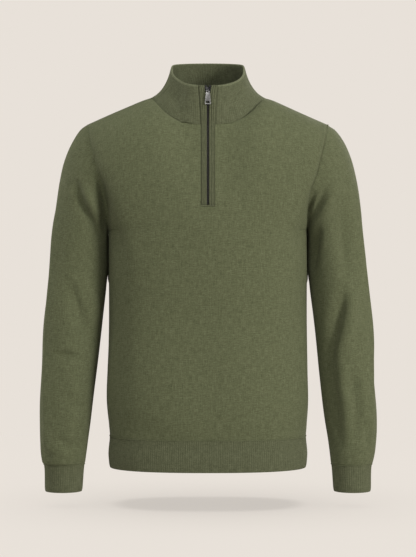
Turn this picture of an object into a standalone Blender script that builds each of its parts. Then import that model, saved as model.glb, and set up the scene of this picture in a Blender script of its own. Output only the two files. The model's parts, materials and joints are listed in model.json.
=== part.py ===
# A knitted quarter zip sweater in its worn, hollow form: jersey front, back and set-in sleeves, a doubled
# stand collar, hem and cuffs in 1x1 rib, and a short front zip with a slider and a pull tab that swings.
# Metres. +X is the wearer's left, -Y the front, +Z up. The origin lies in the neck, level with the high
# point of both shoulders, where the wearer holds the garment up.

import math
from collections import namedtuple

import bmesh
import bpy
import numpy as np
from mathutils import Matrix, Vector

# Cloth
JERSEY = 0.0020          # wall of the plain knit
RIB = 0.0028             # wall of the hem and cuff ribs
BAND = 0.0040            # wall of the doubled collar
SEAM_GAP = 0.0003        # between two sewn pieces
RIB_PITCH = 0.0038       # one knit and one purl wale
RIB_HEIGHT = 0.0009      # crest above groove

# Body
HEM_BOTTOM = -0.663
HEM_JOIN = -0.6075
UNDERARM = -0.240
BODY_SQUARE = 2.45       # exponent of the body's oval sections
EDGE_PULL = 5            # how narrowly the panels' edges are drawn out to the armhole
SHOULDER_HALF = 0.2155
SHOULDER_DROP = 0.0495
NECK_HALF = 0.101
NECK_FRONT = 0.088       # how far the neckline reaches forward
NECK_BACK = 0.072
NECK_FRONT_DROP = 0.057
NECK_BACK_RISE = 0.004
ARMHOLE_DEPTH = 0.072    # half of the armhole, front to back
SHOULDER_CLIMB = (1.8, 2.4)   # how the panels round over to the shoulder: at the slit, beside the neck
SHOULDER_SQUARE = (1.0, 2.2)
BACK_LOW_SHARE = 0.22    # height of the back's second row above the underarm
NECK_LIFT_FRONT = 18     # degrees the cloth faces up at the neckline
NECK_LIFT_SIDE = 58
ARM_LEAN = 0.55          # how far the cloth faces out at the armhole, half way up
ARM_LEAN_LOW = 0.15      # at the underarm
ARM_LEAN_TOP = 0.25      # at the shoulder tip

# Collar
COLLAR_HALF = 0.0662
COLLAR_FRONT = 0.0765
COLLAR_BACK = 0.060
COLLAR_SIDE_TOP = 0.0530
COLLAR_FRONT_TOP = 0.0135
COLLAR_BACK_TOP = 0.0688
COLLAR_END_FLARE = 0.0045
COLLAR_BOW = 0.62        # how strongly the collar's sides curve up out of the shoulders
COLLAR_RISES = (0.0, 0.25, 0.5, 0.75, 0.97)
COLLAR_RIBS = (0.4, 1, 1, 1, 0.8)   # share of the rib's height at each of those rises
FOLD_ROUND = 0.35        # how far the folded top edge stands above the last rise, in walls

# Zip
SLIT_HALF = 0.0123
ZIP_FOOT = -0.199
BAND_INNER = 0.0021      # inner edge of a zip band from the middle
BAND_PARTED = 0.0062     # the same at the top, beside the slider
BAND_PARTS_OVER = 0.020  # height over which the bands part
BAND_DEEP = 0.0016       # the band's back below the front's outer face
BAND_CREST = 0.0009      # its three wales above that face
BAND_GROOVE = 0.0002
FOOT_BAR_HEIGHT = 0.0026
FOOT_BAR_THICK = 0.0012
FOOT_BAR_OFF = 0.0004    # clear of the cloth under it
CHAIN_HALF = 0.0017
CHAIN_FRONT = 0.0004     # below the front's outer face
TAPE_FRONT = 0.0022
TAPE_BACK = 0.0030
TAPE_PARTED = 0.0015     # half the gap between the tapes behind the slider
TAPE_INSIDE_SLIT = 0.0018

# Slider and pull tab, in the slider's own axes: its back is +Y and its length lies along Z
SLIDER_WIDTH = 0.0095
SLIDER_LENGTH = 0.0090
SLIDER_HEIGHT = 0.0047   # the slider's middle above the origin
SLIDER_FRONT = -0.0030
SLIDER_THROAT = -0.0014
SLIDER_REAR = 0.0036
SLIDER_BACK = 0.0046
SLIDER_WAISTS = ((-0.5, 0.86), (-0.25, 0.94), (0.2, 1.0), (0.42, 0.96), (0.5, 0.86))
POST_HALF = 0.0010
CHAIN_CLOSES = 0.0030    # below the slider, where the two tapes have met
PIVOT_HEIGHT = 0.0042    # the tab's axis above the chain
PIVOT_DROP = 0.0022      # and below the slider's middle
BAIL_INNER = 0.0011      # radii of the arch round the axis
BAIL_OUTER = 0.0021
BAIL_HALF_WIDTH = 0.0009
BAIL_ROOT = 0.0004       # how far its ends reach into the slider
TAB_BAR_HALF = 0.0006
TAB_BAR_WIDTH = 0.0046
TAB_NECK = 0.0040        # below the axis, where the tab has nearly its top width
TAB_SHOULDER = 0.0052
TAB_LENGTH = 0.0252
TAB_TOP_WIDTH = 0.0075
TAB_NECK_SHARE = 0.82    # of the top width
TAB_FOOT_WIDTH = 0.0108
TAB_CORNER = 0.0012
TAB_THICK = 0.0012
EYE_WIDTH = 0.0026
EYE_LENGTH = 0.0024
SLOT_LENGTH = 0.0032
SLOT_WIDTH = 0.0063
SLOT_ABOVE_END = 0.0050

# Grid sizes
BODY_ROWS = 9
ARM_ROWS = 10            # rows beside the armhole
FOOT_ROW = 2             # the row among them at the foot of the slit
NECK_COLUMNS = 4
SIDE_COLUMNS = 6
SLEEVE_RINGS = 21
RIBS_PER_INNER = 3       # ribs to each plain step of the inner wall

CLOTH = (0.092, 0.102, 0.050)
RIB_CLOTH = (0.086, 0.095, 0.047)
TAPE = (0.012, 0.012, 0.012)
METAL = (0.20, 0.20, 0.205)

Section = namedtuple("Section", "height half front back")
BODY = (
    Section(-0.6630, 0.1768, 0.116, 0.105),
    Section(-0.6400, 0.1786, 0.117, 0.106),
    Section(-0.6075, 0.1762, 0.115, 0.104),
    Section(-0.5900, 0.1770, 0.117, 0.105),
    Section(-0.5490, 0.1798, 0.121, 0.109),
    Section(-0.4900, 0.1790, 0.120, 0.107),
    Section(-0.4000, 0.1778, 0.118, 0.104),
    Section(-0.3200, 0.1772, 0.122, 0.109),
    Section(-0.2400, 0.1780, 0.127, 0.117),
)

# The armhole seam seen from the front: how far out it lies at each height, on the front and on the back.
Armhole = namedtuple("Armhole", "height front back")
ARMHOLE = (
    Armhole(-0.2400, 0.1785, 0.1785),
    Armhole(-0.2050, 0.1765, 0.1790),
    Armhole(-0.1700, 0.1812, 0.1850),
    Armhole(-0.1450, 0.1905, 0.1930),
    Armhole(-0.1150, 0.1985, 0.2000),
    Armhole(-0.0850, 0.2065, 0.2075),
    Armhole(-0.0495, 0.2155, 0.2155),
)

# Sleeve sections, from the armhole to the cuff: the outer and inner ends of each oval seen from the front,
# its half depth, and how far its middle lies behind the body's.
Ring = namedtuple("Ring", "place outer_x outer_z inner_x inner_z depth middle")
SLEEVE = (
    Ring(0.0, 0.2155, -0.0495, 0.1785, -0.2400, 0.0720, 0.000),
    Ring(0.8, 0.2300, -0.0600, 0.1797, -0.2475, 0.0715, 0.001),
    Ring(1.6, 0.2440, -0.0805, 0.1800, -0.2560, 0.0700, 0.002),
    Ring(2.6, 0.2572, -0.1110, 0.1798, -0.2690, 0.0675, 0.003),
    Ring(3.8, 0.2672, -0.1520, 0.1794, -0.2860, 0.0650, 0.004),
    Ring(5.2, 0.2752, -0.2060, 0.1797, -0.3080, 0.0630, 0.004),
    Ring(7.0, 0.2838, -0.2830, 0.1832, -0.3400, 0.0610, 0.002),
    Ring(9.0, 0.2905, -0.3650, 0.1882, -0.3800, 0.0595, -0.002),
    Ring(11.0, 0.2958, -0.4400, 0.1942, -0.4400, 0.0575, -0.006),
    Ring(13.0, 0.2993, -0.5050, 0.2010, -0.5050, 0.0550, -0.012),
    Ring(15.0, 0.3014, -0.5700, 0.2084, -0.5700, 0.0515, -0.020),
    Ring(16.6, 0.3004, -0.6120, 0.2138, -0.6120, 0.0475, -0.026),
    Ring(17.6, 0.2975, -0.6380, 0.2168, -0.6380, 0.0430, -0.030),
    Ring(18.4, 0.2930, -0.6545, 0.2191, -0.6545, 0.0375, -0.032),
    Ring(18.5, 0.2924, -0.6555, 0.2194, -0.6555, 0.0370, -0.032),
    Ring(20.0, 0.2897, -0.7035, 0.2232, -0.7035, 0.0335, -0.036),
)
CUFF_JOIN = 18.5
CUFF_END = 20.0

# Folds of the cloth, as lines seen from the front: a trough has a negative rise. Front and back are -1, +1.
Fold = namedtuple("Fold", "face x0 z0 x1 z1 width rise")
SLEEVE_FOLDS = (
    Fold(-1, -0.238, -0.160, -0.200, -0.246, 0.0110, -0.0050),
    Fold(-1, -0.216, -0.168, -0.188, -0.225, 0.0130, 0.0040),
    Fold(-1, -0.205, -0.300, -0.196, -0.365, 0.0140, -0.0030),
    Fold(-1, -0.232, -0.415, -0.196, -0.380, 0.0130, -0.0035),
    Fold(-1, -0.262, -0.462, -0.226, -0.458, 0.0100, -0.0025),
    Fold(-1, 0.242, -0.140, 0.190, -0.222, 0.0110, -0.0045),
    Fold(-1, 0.226, -0.142, 0.196, -0.185, 0.0130, 0.0040),
    Fold(-1, 0.238, -0.365, 0.212, -0.475, 0.0120, -0.0035),
    Fold(-1, 0.218, -0.440, 0.228, -0.610, 0.0140, -0.0030),
    Fold(1, -0.245, -0.150, -0.200, -0.240, 0.0130, -0.0045),
    Fold(1, 0.245, -0.155, 0.198, -0.235, 0.0130, -0.0045),
    Fold(1, -0.270, -0.400, -0.205, -0.425, 0.0130, -0.0035),
    Fold(1, 0.272, -0.395, 0.208, -0.430, 0.0130, -0.0035),
)
BODY_FOLDS = (
    Fold(-1, -0.172, -0.205, -0.150, -0.290, 0.0160, -0.0035),
    Fold(-1, 0.172, -0.200, 0.152, -0.285, 0.0160, -0.0035),
    Fold(-1, -0.150, -0.330, -0.138, -0.560, 0.0200, -0.0025),
    Fold(1, -0.165, -0.190, -0.135, -0.270, 0.0180, -0.0040),
    Fold(1, 0.165, -0.195, 0.132, -0.275, 0.0180, -0.0040),
    Fold(1, -0.080, -0.520, -0.095, -0.590, 0.0180, -0.0025),
    Fold(1, 0.070, -0.470, 0.082, -0.585, 0.0180, -0.0025),
)


def follow(rows, along, value, at):
    """The named value of a table at a place along it, on a smooth curve through its rows."""
    knots = np.array([getattr(row, along) for row in rows])
    values = np.array([getattr(row, value) for row in rows])
    slopes = np.gradient(values, knots)
    at = np.clip(at, knots[0], knots[-1])
    i = np.clip(np.searchsorted(knots, at) - 1, 0, len(knots) - 2)
    step = knots[i + 1] - knots[i]
    t = (at - knots[i]) / step
    return (
        (1 + 2 * t) * (1 - t) ** 2 * values[i]
        + t * (1 - t) ** 2 * step * slopes[i]
        + t * t * (3 - 2 * t) * values[i + 1]
        + t * t * (t - 1) * step * slopes[i + 1]
    )


def mix(a, b, share):
    return a + (b - a) * share


def ease(low, high, at):
    t = np.clip((at - low) / (high - low), 0, 1)
    return t * t * (3 - 2 * t)


def unit(vectors):
    return vectors / np.linalg.norm(vectors, axis=-1, keepdims=True)


def stacked(x, y, z):
    return np.stack(np.broadcast_arrays(x, y, z), axis=-1).astype(float)


def oval_depth(share, square):
    """How deep an oval is, as a share, at a share of its half width."""
    return np.clip(1 - np.abs(share) ** square, 0, 1) ** (1 / square)


def normals_of(points, outward, wrap=False):
    """A normal at each point of a grid of rows and columns, turned to the side given."""
    if wrap:
        along = np.roll(points, -1, axis=1) - np.roll(points, 1, axis=1)
    else:
        along = np.gradient(points, axis=1)
    normals = unit(np.cross(along, np.gradient(points, axis=0)))
    turn = np.sign((normals * outward).sum(-1).sum())
    return normals * turn


def folded(points, normals, folds):
    """Points moved along their normals by the folds on their face of the garment."""
    rise = np.zeros(points.shape[:2])
    flat = points[..., [0, 2]]
    for fold in folds:
        start = np.array((fold.x0, fold.z0))
        run = np.array((fold.x1, fold.z1)) - start
        share = np.clip(((flat - start) @ run) / (run @ run), 0, 1)
        away = np.linalg.norm(flat - start - share[..., None] * run, axis=-1)
        facing = ease(0.15, 0.6, normals[..., 1] * fold.face)
        rise += fold.rise * facing * np.exp(-((away / fold.width) ** 2))
    return points + normals * rise[..., None]


# Building meshes


def add_object(name, vertices, faces, colour, rough=0.9, metal=0.0, smooth_under=50):
    mesh = bpy.data.meshes.new(name)
    mesh.from_pydata([tuple(v) for v in vertices], [], faces)
    tidy = bmesh.new()
    tidy.from_mesh(mesh)
    bmesh.ops.triangulate(tidy, faces=[f for f in tidy.faces if len(f.verts) > 4])
    bmesh.ops.recalc_face_normals(tidy, faces=tidy.faces)
    tidy.to_mesh(mesh)
    tidy.free()
    mesh.shade_smooth()
    mesh.set_sharp_from_angle(angle=math.radians(smooth_under))
    ob = bpy.data.objects.new(name, mesh)
    bpy.context.scene.collection.objects.link(ob)
    material = bpy.data.materials.new(name)
    material.use_nodes = True
    shader = material.node_tree.nodes["Principled BSDF"]
    shader.inputs["Base Color"].default_value = (*colour, 1)
    shader.inputs["Roughness"].default_value = rough
    shader.inputs["Metallic"].default_value = metal
    mesh.materials.append(material)
    return ob


def cloth_wall(name, outer, inner, colour, keep=None, wrap=False):
    """A closed wall between two grids of the same size. keep marks the cells that are cloth."""
    rows, columns = outer.shape[:2]
    spans = columns if wrap else columns - 1
    if keep is None:
        keep = np.ones((rows - 1, spans), bool)
    index = np.arange(rows * columns).reshape(rows, columns)
    faces = []
    edges = {}
    for r, c in zip(*np.nonzero(keep)):
        across = (c + 1) % columns
        ring = [index[r, c], index[r, across], index[r + 1, across], index[r + 1, c]]
        faces.append(ring)
        faces.append([i + rows * columns for i in reversed(ring)])
        for a, b in zip(ring, ring[1:] + ring[:1]):
            if (b, a) in edges:
                del edges[(b, a)]
            else:
                edges[(a, b)] = True
    for a, b in edges:
        faces.append([b, a, a + rows * columns, b + rows * columns])
    used = sorted({i for face in faces for i in face})
    place = {old: new for new, old in enumerate(used)}
    vertices = np.concatenate([outer.reshape(-1, 3), inner.reshape(-1, 3)])[used]
    return add_object(name, vertices, [[place[i] for i in f] for f in faces], colour)


def ribbed_wall(name, outer, inner, step, colour, wrap=False):
    """A closed wall whose outer grid has step columns to each one of the plain inner grid."""
    rows, many = outer.shape[:2]
    inner_rows, few = inner.shape[:2]
    over = np.arange(rows * many).reshape(rows, many)
    under = np.arange(inner_rows * few).reshape(inner_rows, few) + rows * many
    if wrap:
        over = np.concatenate([over, over[:, :1]], axis=1)
        under = np.concatenate([under, under[:, :1]], axis=1)
    faces = []
    for grid, turn in ((over, 1), (under, -1)):
        for low, high in zip(grid[:-1], grid[1:]):
            for c in range(grid.shape[1] - 1):
                faces.append([low[c], low[c + 1], high[c + 1], high[c]][::turn])
    for top, bottom in ((over[0], under[0]), (over[-1][::-1], under[-1][::-1])):
        for k in range(len(bottom) - 1):
            first = k * step
            middle = first + step // 2
            for c in range(first, first + step):
                faces.append([top[c + 1], top[c], bottom[k] if c < middle else bottom[k + 1]])
            faces.append([bottom[k], bottom[k + 1], top[middle]])
    if not wrap:
        faces.append([*over[:, 0], *under[::-1, 0]])
        faces.append([*over[::-1, -1], *under[:, -1]])
    vertices = np.concatenate([outer.reshape(-1, 3), inner.reshape(-1, 3)])
    return add_object(name, vertices, faces, colour, smooth_under=70)


def rib_raise(columns, share=1.0):
    """How far each column of a ribbed grid stands out: crests and grooves in turn."""
    return np.where(np.arange(columns) % 2 == 0, 0.0, -RIB_HEIGHT) * share


# Seams that two pieces share


def neckline(face, x):
    """The seam of the collar, at each x. face is -1 on the front and +1 on the back."""
    share = np.clip(np.abs(x) / NECK_HALF, 0, 1)
    if face < 0:
        return stacked(x, -NECK_FRONT * np.sqrt(1 - share**2), -NECK_FRONT_DROP * (1 - share**3))
    return stacked(x, NECK_BACK * np.sqrt(1 - share**2), NECK_BACK_RISE * (1 - share**2))


def neck_normals(points):
    """The shared normals of body and collar at their seam: nearly level in front, steep at the sides."""
    share = np.clip(np.abs(points[..., 0]) / NECK_HALF, 0, 1)
    level = stacked(points[..., 0], points[..., 1] * np.sqrt(1 - share**2), 0 * share)
    lift = np.radians(mix(NECK_LIFT_FRONT, NECK_LIFT_SIDE, share**3))
    return unit(unit(level) * np.cos(lift)[..., None] + stacked(0, 0, np.sin(lift)))


def armhole(turn):
    """The armhole seam of the +X side. turn is 0 at the underarm, pi at the tip, 2 pi at the underarm."""
    middle = (UNDERARM - SHOULDER_DROP) / 2
    z = middle - (middle - UNDERARM) * np.cos(turn)
    out = np.where(
        np.sin(turn) >= 0,
        follow(ARMHOLE, "height", "front", z),
        follow(ARMHOLE, "height", "back", z),
    )
    return stacked(out, -ARMHOLE_DEPTH * np.sin(turn), z)


def armhole_normals(turn):
    end = np.where(np.cos(turn) > 0, ARM_LEAN_LOW, ARM_LEAN_TOP)
    side = mix(ARM_LEAN, end, np.cos(turn) ** 2)
    return unit(stacked(side, -np.sin(turn), -np.cos(turn)))


def past_seam(points, normals, wrap, away):
    """Points moved off a seam by its gap, square to it along the cloth, towards the way given."""
    if wrap:
        along = np.roll(points, -1, axis=0) - np.roll(points, 1, axis=0)
    else:
        along = np.gradient(points, axis=0)
    off = unit(np.cross(along, normals))
    off *= np.sign((off * away).sum(-1, keepdims=True))
    return points + SEAM_GAP * off


# Front and back


def column_shares():
    """Where the columns of half a panel lie, from the slit to the side: 0 to 1."""
    neck = (NECK_HALF - SLIT_HALF) / (SHOULDER_HALF - SLIT_HALF)
    inner = np.linspace(0, neck, NECK_COLUMNS + 1)
    steps = np.arange(1, SIDE_COLUMNS + 1) / SIDE_COLUMNS
    return np.concatenate([inner, neck + (1 - neck) * np.sin(steps * math.pi / 2)])


def half_panel(face):
    """The +X half of a panel as rows of points: the slit's column first, the side seam and armhole last."""
    shares = column_shares()
    rows = []
    for height in np.linspace(HEM_JOIN + SEAM_GAP, UNDERARM, BODY_ROWS + 1):
        half = follow(BODY, "height", "half", height)
        depth = follow(BODY, "height", "front" if face < 0 else "back", height)
        x = mix(SLIT_HALF, half, shares)
        rows.append(stacked(x, face * depth * oval_depth(x / half, BODY_SQUARE), height))
    low = rows[-1]
    to_armhole = 1 - low[:, 1] / low[0, 1]
    x = mix(SLIT_HALF, SHOULDER_HALF, shares)
    slope = SHOULDER_DROP / (SHOULDER_HALF - NECK_HALF)
    top = neckline(face, x)
    top[:, 2] -= np.maximum(x - NECK_HALF, 0) * slope
    foot_share = (ZIP_FOOT - UNDERARM) / (top[0, 2] - UNDERARM) if face < 0 else BACK_LOW_SHARE
    power = math.log(math.asin(foot_share) * 2 / math.pi) / math.log(FOOT_ROW / ARM_ROWS)
    round_over = ease(0.3, 1.0, x / NECK_HALF)
    for row in range(1, ARM_ROWS + 1):
        turn = row / ARM_ROWS
        climb = math.sin(turn**power * math.pi / 2)
        fall = (1 - climb ** mix(*SHOULDER_CLIMB, round_over)) ** (1 / mix(*SHOULDER_SQUARE, round_over))
        points = mix(low, top, climb)
        points[:, 1] = top[:, 1] + (low[:, 1] - top[:, 1]) * fall
        edge = armhole(turn * math.pi)
        edge[1] *= -face
        if face > 0:
            edge[0] = armhole(-turn * math.pi)[0]
        pull = (edge - points[-1]) * (shares**EDGE_PULL)[:, None]
        pull[:, 1] = edge[1] * to_armhole
        rows.append(points + pull)
    return np.array(rows)


def panel_grids(face):
    """The outer and inner grids of the front or the back."""
    half = half_panel(face)
    middle = half[:, :1] * (0, 1, 1)
    if face > 0:
        half[:, :, 1] = np.maximum(half[:, :, 1], SEAM_GAP / 2)
    else:
        half[:, :, 1] = np.minimum(half[:, :, 1], -SEAM_GAP / 2)
    outer = np.concatenate([half[:, ::-1] * (-1, 1, 1), middle, half], axis=1)
    normals = normals_of(outer, (0, face, 0))
    outer = folded(outer, normals, BODY_FOLDS)
    normals = normals_of(outer, (0, face, 0))
    columns = len(outer[0])
    turns = np.arange(ARM_ROWS + 1) / ARM_ROWS * math.pi
    arm = armhole_normals(-turns if face > 0 else turns)
    normals[BODY_ROWS:, -1] = arm
    normals[BODY_ROWS:, 0] = arm * (-1, 1, 1)
    normals[0, :, 2] = 0
    normals[:BODY_ROWS, [0, -1], 1] = 0
    shoulder = np.abs(outer[-1, :, 0]) > NECK_HALF + SEAM_GAP
    normals[-1, shoulder, 1] = 0
    to_back = NECK_BACK / NECK_FRONT if face < 0 else 1
    normals[-1, ~shoulder] = neck_normals(outer[-1, ~shoulder] * (1, to_back, 1))
    slit = [columns // 2 - 1, columns // 2, columns // 2 + 1]
    normals[:, slit, 0] = 0
    normals = unit(normals)
    return outer, outer - JERSEY * normals


def build_panels():
    grids = {}
    for face, name in ((-1, "front_panel"), (1, "back_panel")):
        outer, inner = panel_grids(face)
        keep = np.ones((outer.shape[0] - 1, outer.shape[1] - 1), bool)
        if face < 0:
            middle = outer.shape[1] // 2
            keep[BODY_ROWS + FOOT_ROW :, middle - 1 : middle + 1] = False
        cloth_wall(name, outer, inner, CLOTH, keep)
        grids[face] = outer
    return grids


# Sleeves and cuffs


def sleeve_points(place, turn):
    """Points of the +X sleeve at a place along it and a turn round it, as armhole counts them."""
    outer_x = follow(SLEEVE, "place", "outer_x", place)
    outer_z = follow(SLEEVE, "place", "outer_z", place)
    inner_x = follow(SLEEVE, "place", "inner_x", place)
    inner_z = follow(SLEEVE, "place", "inner_z", place)
    share = (1 - np.cos(turn)) / 2
    depth = follow(SLEEVE, "place", "depth", place)
    y = follow(SLEEVE, "place", "middle", place) - depth * np.sin(turn)
    points = stacked(mix(inner_x, outer_x, share), y, mix(inner_z, outer_z, share))
    seam = armhole(turn)
    straight = mix(SLEEVE[0].inner_x, SLEEVE[0].outer_x, share)
    fade = np.clip(1 - place / 4, 0, 1) ** 2
    points[..., 0] += (seam[..., 0] - straight) * fade
    return points


def build_sleeves():
    turns = np.arange(2 * ARM_ROWS) / ARM_ROWS * math.pi
    places = CUFF_JOIN * (np.arange(SLEEVE_RINGS + 1) / SLEEVE_RINGS) ** 1.1
    grid = sleeve_points(places[:, None], turns[None, :])
    seam = armhole_normals(turns)
    grid[0] = past_seam(armhole(turns), seam, True, (1, 0, 0))
    for side, name in ((1, "sleeve_left"), (-1, "sleeve_right")):
        outward = unit(grid - grid.mean(axis=1, keepdims=True)) * (side, 1, 1)
        outer = grid * (side, 1, 1)
        normals = normals_of(outer, outward, wrap=True)
        outer = folded(outer, normals, SLEEVE_FOLDS)
        outer[0] = grid[0] * (side, 1, 1)
        normals = normals_of(outer, outward, wrap=True)
        normals[0] = seam * (side, 1, 1)
        normals[-1, :, 2] = 0
        inner = outer - JERSEY * unit(normals)
        cloth_wall(name, outer, inner, CLOTH, wrap=True)


def even_turns(place, count):
    """Turns that part a sleeve's section into even steps round it."""
    fine = np.linspace(0, 2 * math.pi, 721)
    run = np.linalg.norm(np.diff(sleeve_points(place, fine), axis=0), axis=-1)
    way = np.concatenate([[0], np.cumsum(run)])
    return np.interp(np.arange(count) / count * way[-1], way, fine), way[-1]


def build_cuffs():
    step = 2 * RIBS_PER_INNER
    _, girth = even_turns(CUFF_END, 1)
    ribs = round(girth / RIB_PITCH / RIBS_PER_INNER) * RIBS_PER_INNER
    turns, _ = even_turns(CUFF_END, 2 * ribs)
    places = np.array([CUFF_JOIN, mix(CUFF_JOIN, CUFF_END, 0.5), CUFF_END])
    grid = sleeve_points(places[:, None], turns[None, :])
    grid[0, :, 2] -= SEAM_GAP
    for side, name in ((1, "cuff_left"), (-1, "cuff_right")):
        outer = grid * (side, 1, 1)
        outward = unit(outer - outer.mean(axis=1, keepdims=True))
        normals = normals_of(outer, outward, wrap=True)
        normals[:, :, 2] = 0
        normals = unit(normals)
        inner = (outer - RIB * normals)[[0, -1], ::step]
        outer = outer + normals * rib_raise(2 * ribs)[None, :, None]
        ribbed_wall(name, outer, inner, step, RIB_CLOTH, wrap=True)


# Hem


def build_hem():
    """Two halves of the hem rib, parted at the side seams."""
    step = 2 * RIBS_PER_INNER
    heights = np.array([HEM_BOTTOM, mix(HEM_BOTTOM, HEM_JOIN, 0.5), HEM_JOIN])
    for face, name in ((-1, "hem_rib_front"), (1, "hem_rib_back")):
        turn = np.linspace(-math.pi / 2, math.pi / 2, 721)
        bend = 2 / BODY_SQUARE
        unit_x = np.sign(turn) * np.abs(np.sin(turn)) ** bend
        unit_y = face * np.abs(np.cos(turn)) ** bend
        half = follow(BODY, "height", "half", heights)
        depth = follow(BODY, "height", "front" if face < 0 else "back", heights)
        fine = np.stack([stacked(half[k] * unit_x, depth[k] * unit_y, heights[k]) for k in range(3)])
        run = np.linalg.norm(np.diff(fine[0], axis=0), axis=-1)
        way = np.concatenate([[0], np.cumsum(run)])
        few = round(way[-1] / RIB_PITCH / RIBS_PER_INNER)
        count = few * step + 1
        places = np.interp(np.linspace(0, way[-1], count), way, np.arange(len(way)))
        low = np.clip(places.astype(int), 0, len(way) - 2)
        share = (places - low)[None, :, None]
        outer = mix(fine[:, low], fine[:, low + 1], share)
        outer[:, [0, -1], 1] = face * SEAM_GAP / 2
        normals = normals_of(outer, (0, face, 0))
        normals[:, :, 2] = 0
        normals[:, [0, -1], 1] = 0
        normals = unit(normals)
        inner = (outer - RIB * normals)[:, ::step]
        outer = outer + normals * rib_raise(count)[None, :, None]
        ribbed_wall(name, outer, inner, step, RIB_CLOTH)


# Collar


def collar_top(turn):
    """The collar's upper edge. turn is 0 in front, half pi at the wearer's left, pi at the back."""
    ahead = np.cos(turn)
    shape = np.abs(ahead) ** 0.8
    y = np.where(ahead > 0, -COLLAR_FRONT * shape, COLLAR_BACK * shape)
    low = mix(COLLAR_SIDE_TOP, COLLAR_FRONT_TOP, np.abs(ahead) ** 0.7)
    high = mix(COLLAR_SIDE_TOP, COLLAR_BACK_TOP, np.abs(ahead) ** 0.4)
    return stacked(COLLAR_HALF * np.sin(turn), y, np.where(ahead > 0, low, high))


def neck_loop(grids, turn):
    """The collar's lower edge: the necklines of front and back, point by point, at each turn."""
    loop = []
    for face in (-1, 1):
        top = grids[face][-1]
        inside = np.abs(top[:, 0]) <= NECK_HALF + SEAM_GAP
        loop.append(top[inside] if face < 0 else top[inside][::-1])
    front, back = loop
    middle = len(front) // 2
    ring = np.concatenate([front[middle + 1 :], back[1:-1], front[:middle]])
    share = np.clip(np.abs(ring[:, 0]) / NECK_HALF, 0, 1)
    angle = np.arcsin(share)
    angle = np.where(ring[:, 1] > 0, math.pi - angle, angle)
    angle = np.where(ring[:, 0] < 0, 2 * math.pi - angle, angle)
    back_middle = (np.abs(ring[:, 0]) < SEAM_GAP) & (ring[:, 1] > 0)
    angle[back_middle] = math.pi
    return np.stack([np.interp(turn, angle, ring[:, k]) for k in range(3)], axis=-1)


def collar_end(rise):
    """How far from the middle the collar ends, in front, at a share of its height."""
    return SLIT_HALF + COLLAR_END_FLARE * rise**1.5


def collar_grid(grids, count, rises):
    """Outer points of the collar from the wearer's left end round to the right end."""
    rows = []
    for rise in rises:
        half = mix(NECK_HALF, COLLAR_HALF, rise)
        first = math.asin(collar_end(rise) / half)
        turn = np.linspace(first, 2 * math.pi - first, count)
        low = neck_loop(grids, turn)
        high = collar_top(turn)
        side = np.sin(turn) ** 2
        sweep_in = mix(rise, math.sin(rise * math.pi / 2), COLLAR_BOW * side)
        sweep_up = mix(rise, 1 - math.cos(rise * math.pi / 2), COLLAR_BOW * side)
        points = mix(low, high, sweep_in[:, None])
        points[:, 2] = mix(low[:, 2], high[:, 2], sweep_up)
        points[0, 0] = collar_end(rise)
        points[-1, 0] = -collar_end(rise)
        rows.append(points)
    return np.array(rows)


def build_collar(grids):
    step = 2 * RIBS_PER_INNER
    base = neck_loop(grids, np.linspace(0, 2 * math.pi, 721))
    top = collar_top(np.linspace(0, 2 * math.pi, 721))
    girth = np.linalg.norm(np.diff((base + top) / 2, axis=0), axis=-1).sum()
    few = round(girth / RIB_PITCH / RIBS_PER_INNER)
    count = few * step + 1
    rises = np.array(COLLAR_RISES)
    outer = collar_grid(grids, count, rises)
    outward = unit(outer * (1, 1, 0))
    normals = normals_of(outer, outward)
    seam = neck_normals(outer[0])
    normals[0] = seam
    normals[:, [0, -1], 0] = 0
    normals = unit(normals)
    outer[0] = past_seam(outer[0], seam, False, (0, 0, 1))
    outer[:, 0, 0] = collar_end(rises)
    outer[:, -1, 0] = -collar_end(rises)
    inner = (outer - BAND * normals)[::2, ::step]
    share = np.array(COLLAR_RIBS)[:, None]
    ribs = outer + normals * (rib_raise(count)[None, :] * share)[..., None]
    up = unit(outer[-1] - outer[-2])
    crest = outer[-1] + up * BAND * FOLD_ROUND - normals[-1] * BAND / 2
    crest[0, 0] = collar_end(1.0)
    crest[-1, 0] = -collar_end(1.0)
    ribbed_wall("collar", np.concatenate([ribs, crest[None]]), inner, step, RIB_CLOTH)
    return outer


# Zip


def zip_line(grids, collar):
    """The points beside the slit, from its foot to the collar's top, and their normals in its plane."""
    front = grids[-1]
    column = front.shape[1] // 2 + 1
    body = front[BODY_ROWS + FOOT_ROW :, column]
    line = np.concatenate([body, collar[1:, 0]])
    line[0] += unit(line[1] - line[0]) * SEAM_GAP
    slider_foot = SLIDER_HEIGHT - SLIDER_LENGTH / 2
    heights = np.sort(np.append(line[:, 2], (slider_foot - CHAIN_CLOSES, slider_foot - SEAM_GAP)))
    along = np.gradient(line[:, 1:], axis=0)
    normals = stacked(0, -along[:, 1], along[:, 0])
    normals = np.stack([np.interp(heights, line[:, 2], normals[:, k]) for k in range(3)], axis=-1)
    line = np.stack([np.interp(heights, line[:, 2], line[:, k]) for k in range(3)], axis=-1)
    return line, unit(normals)


def swept(name, sections, colour):
    """A closed solid through sections of equal numbers of points."""
    count = len(sections[0])
    faces = []
    for k in range(len(sections) - 1):
        low = k * count
        for i in range(count):
            j = (i + 1) % count
            faces.append([low + i, low + j, low + count + j, low + count + i])
    faces.append(list(range(count)))
    faces.append(list(range((len(sections) - 1) * count, len(sections) * count)))
    return add_object(name, np.concatenate(sections), faces, colour, smooth_under=35)


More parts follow.
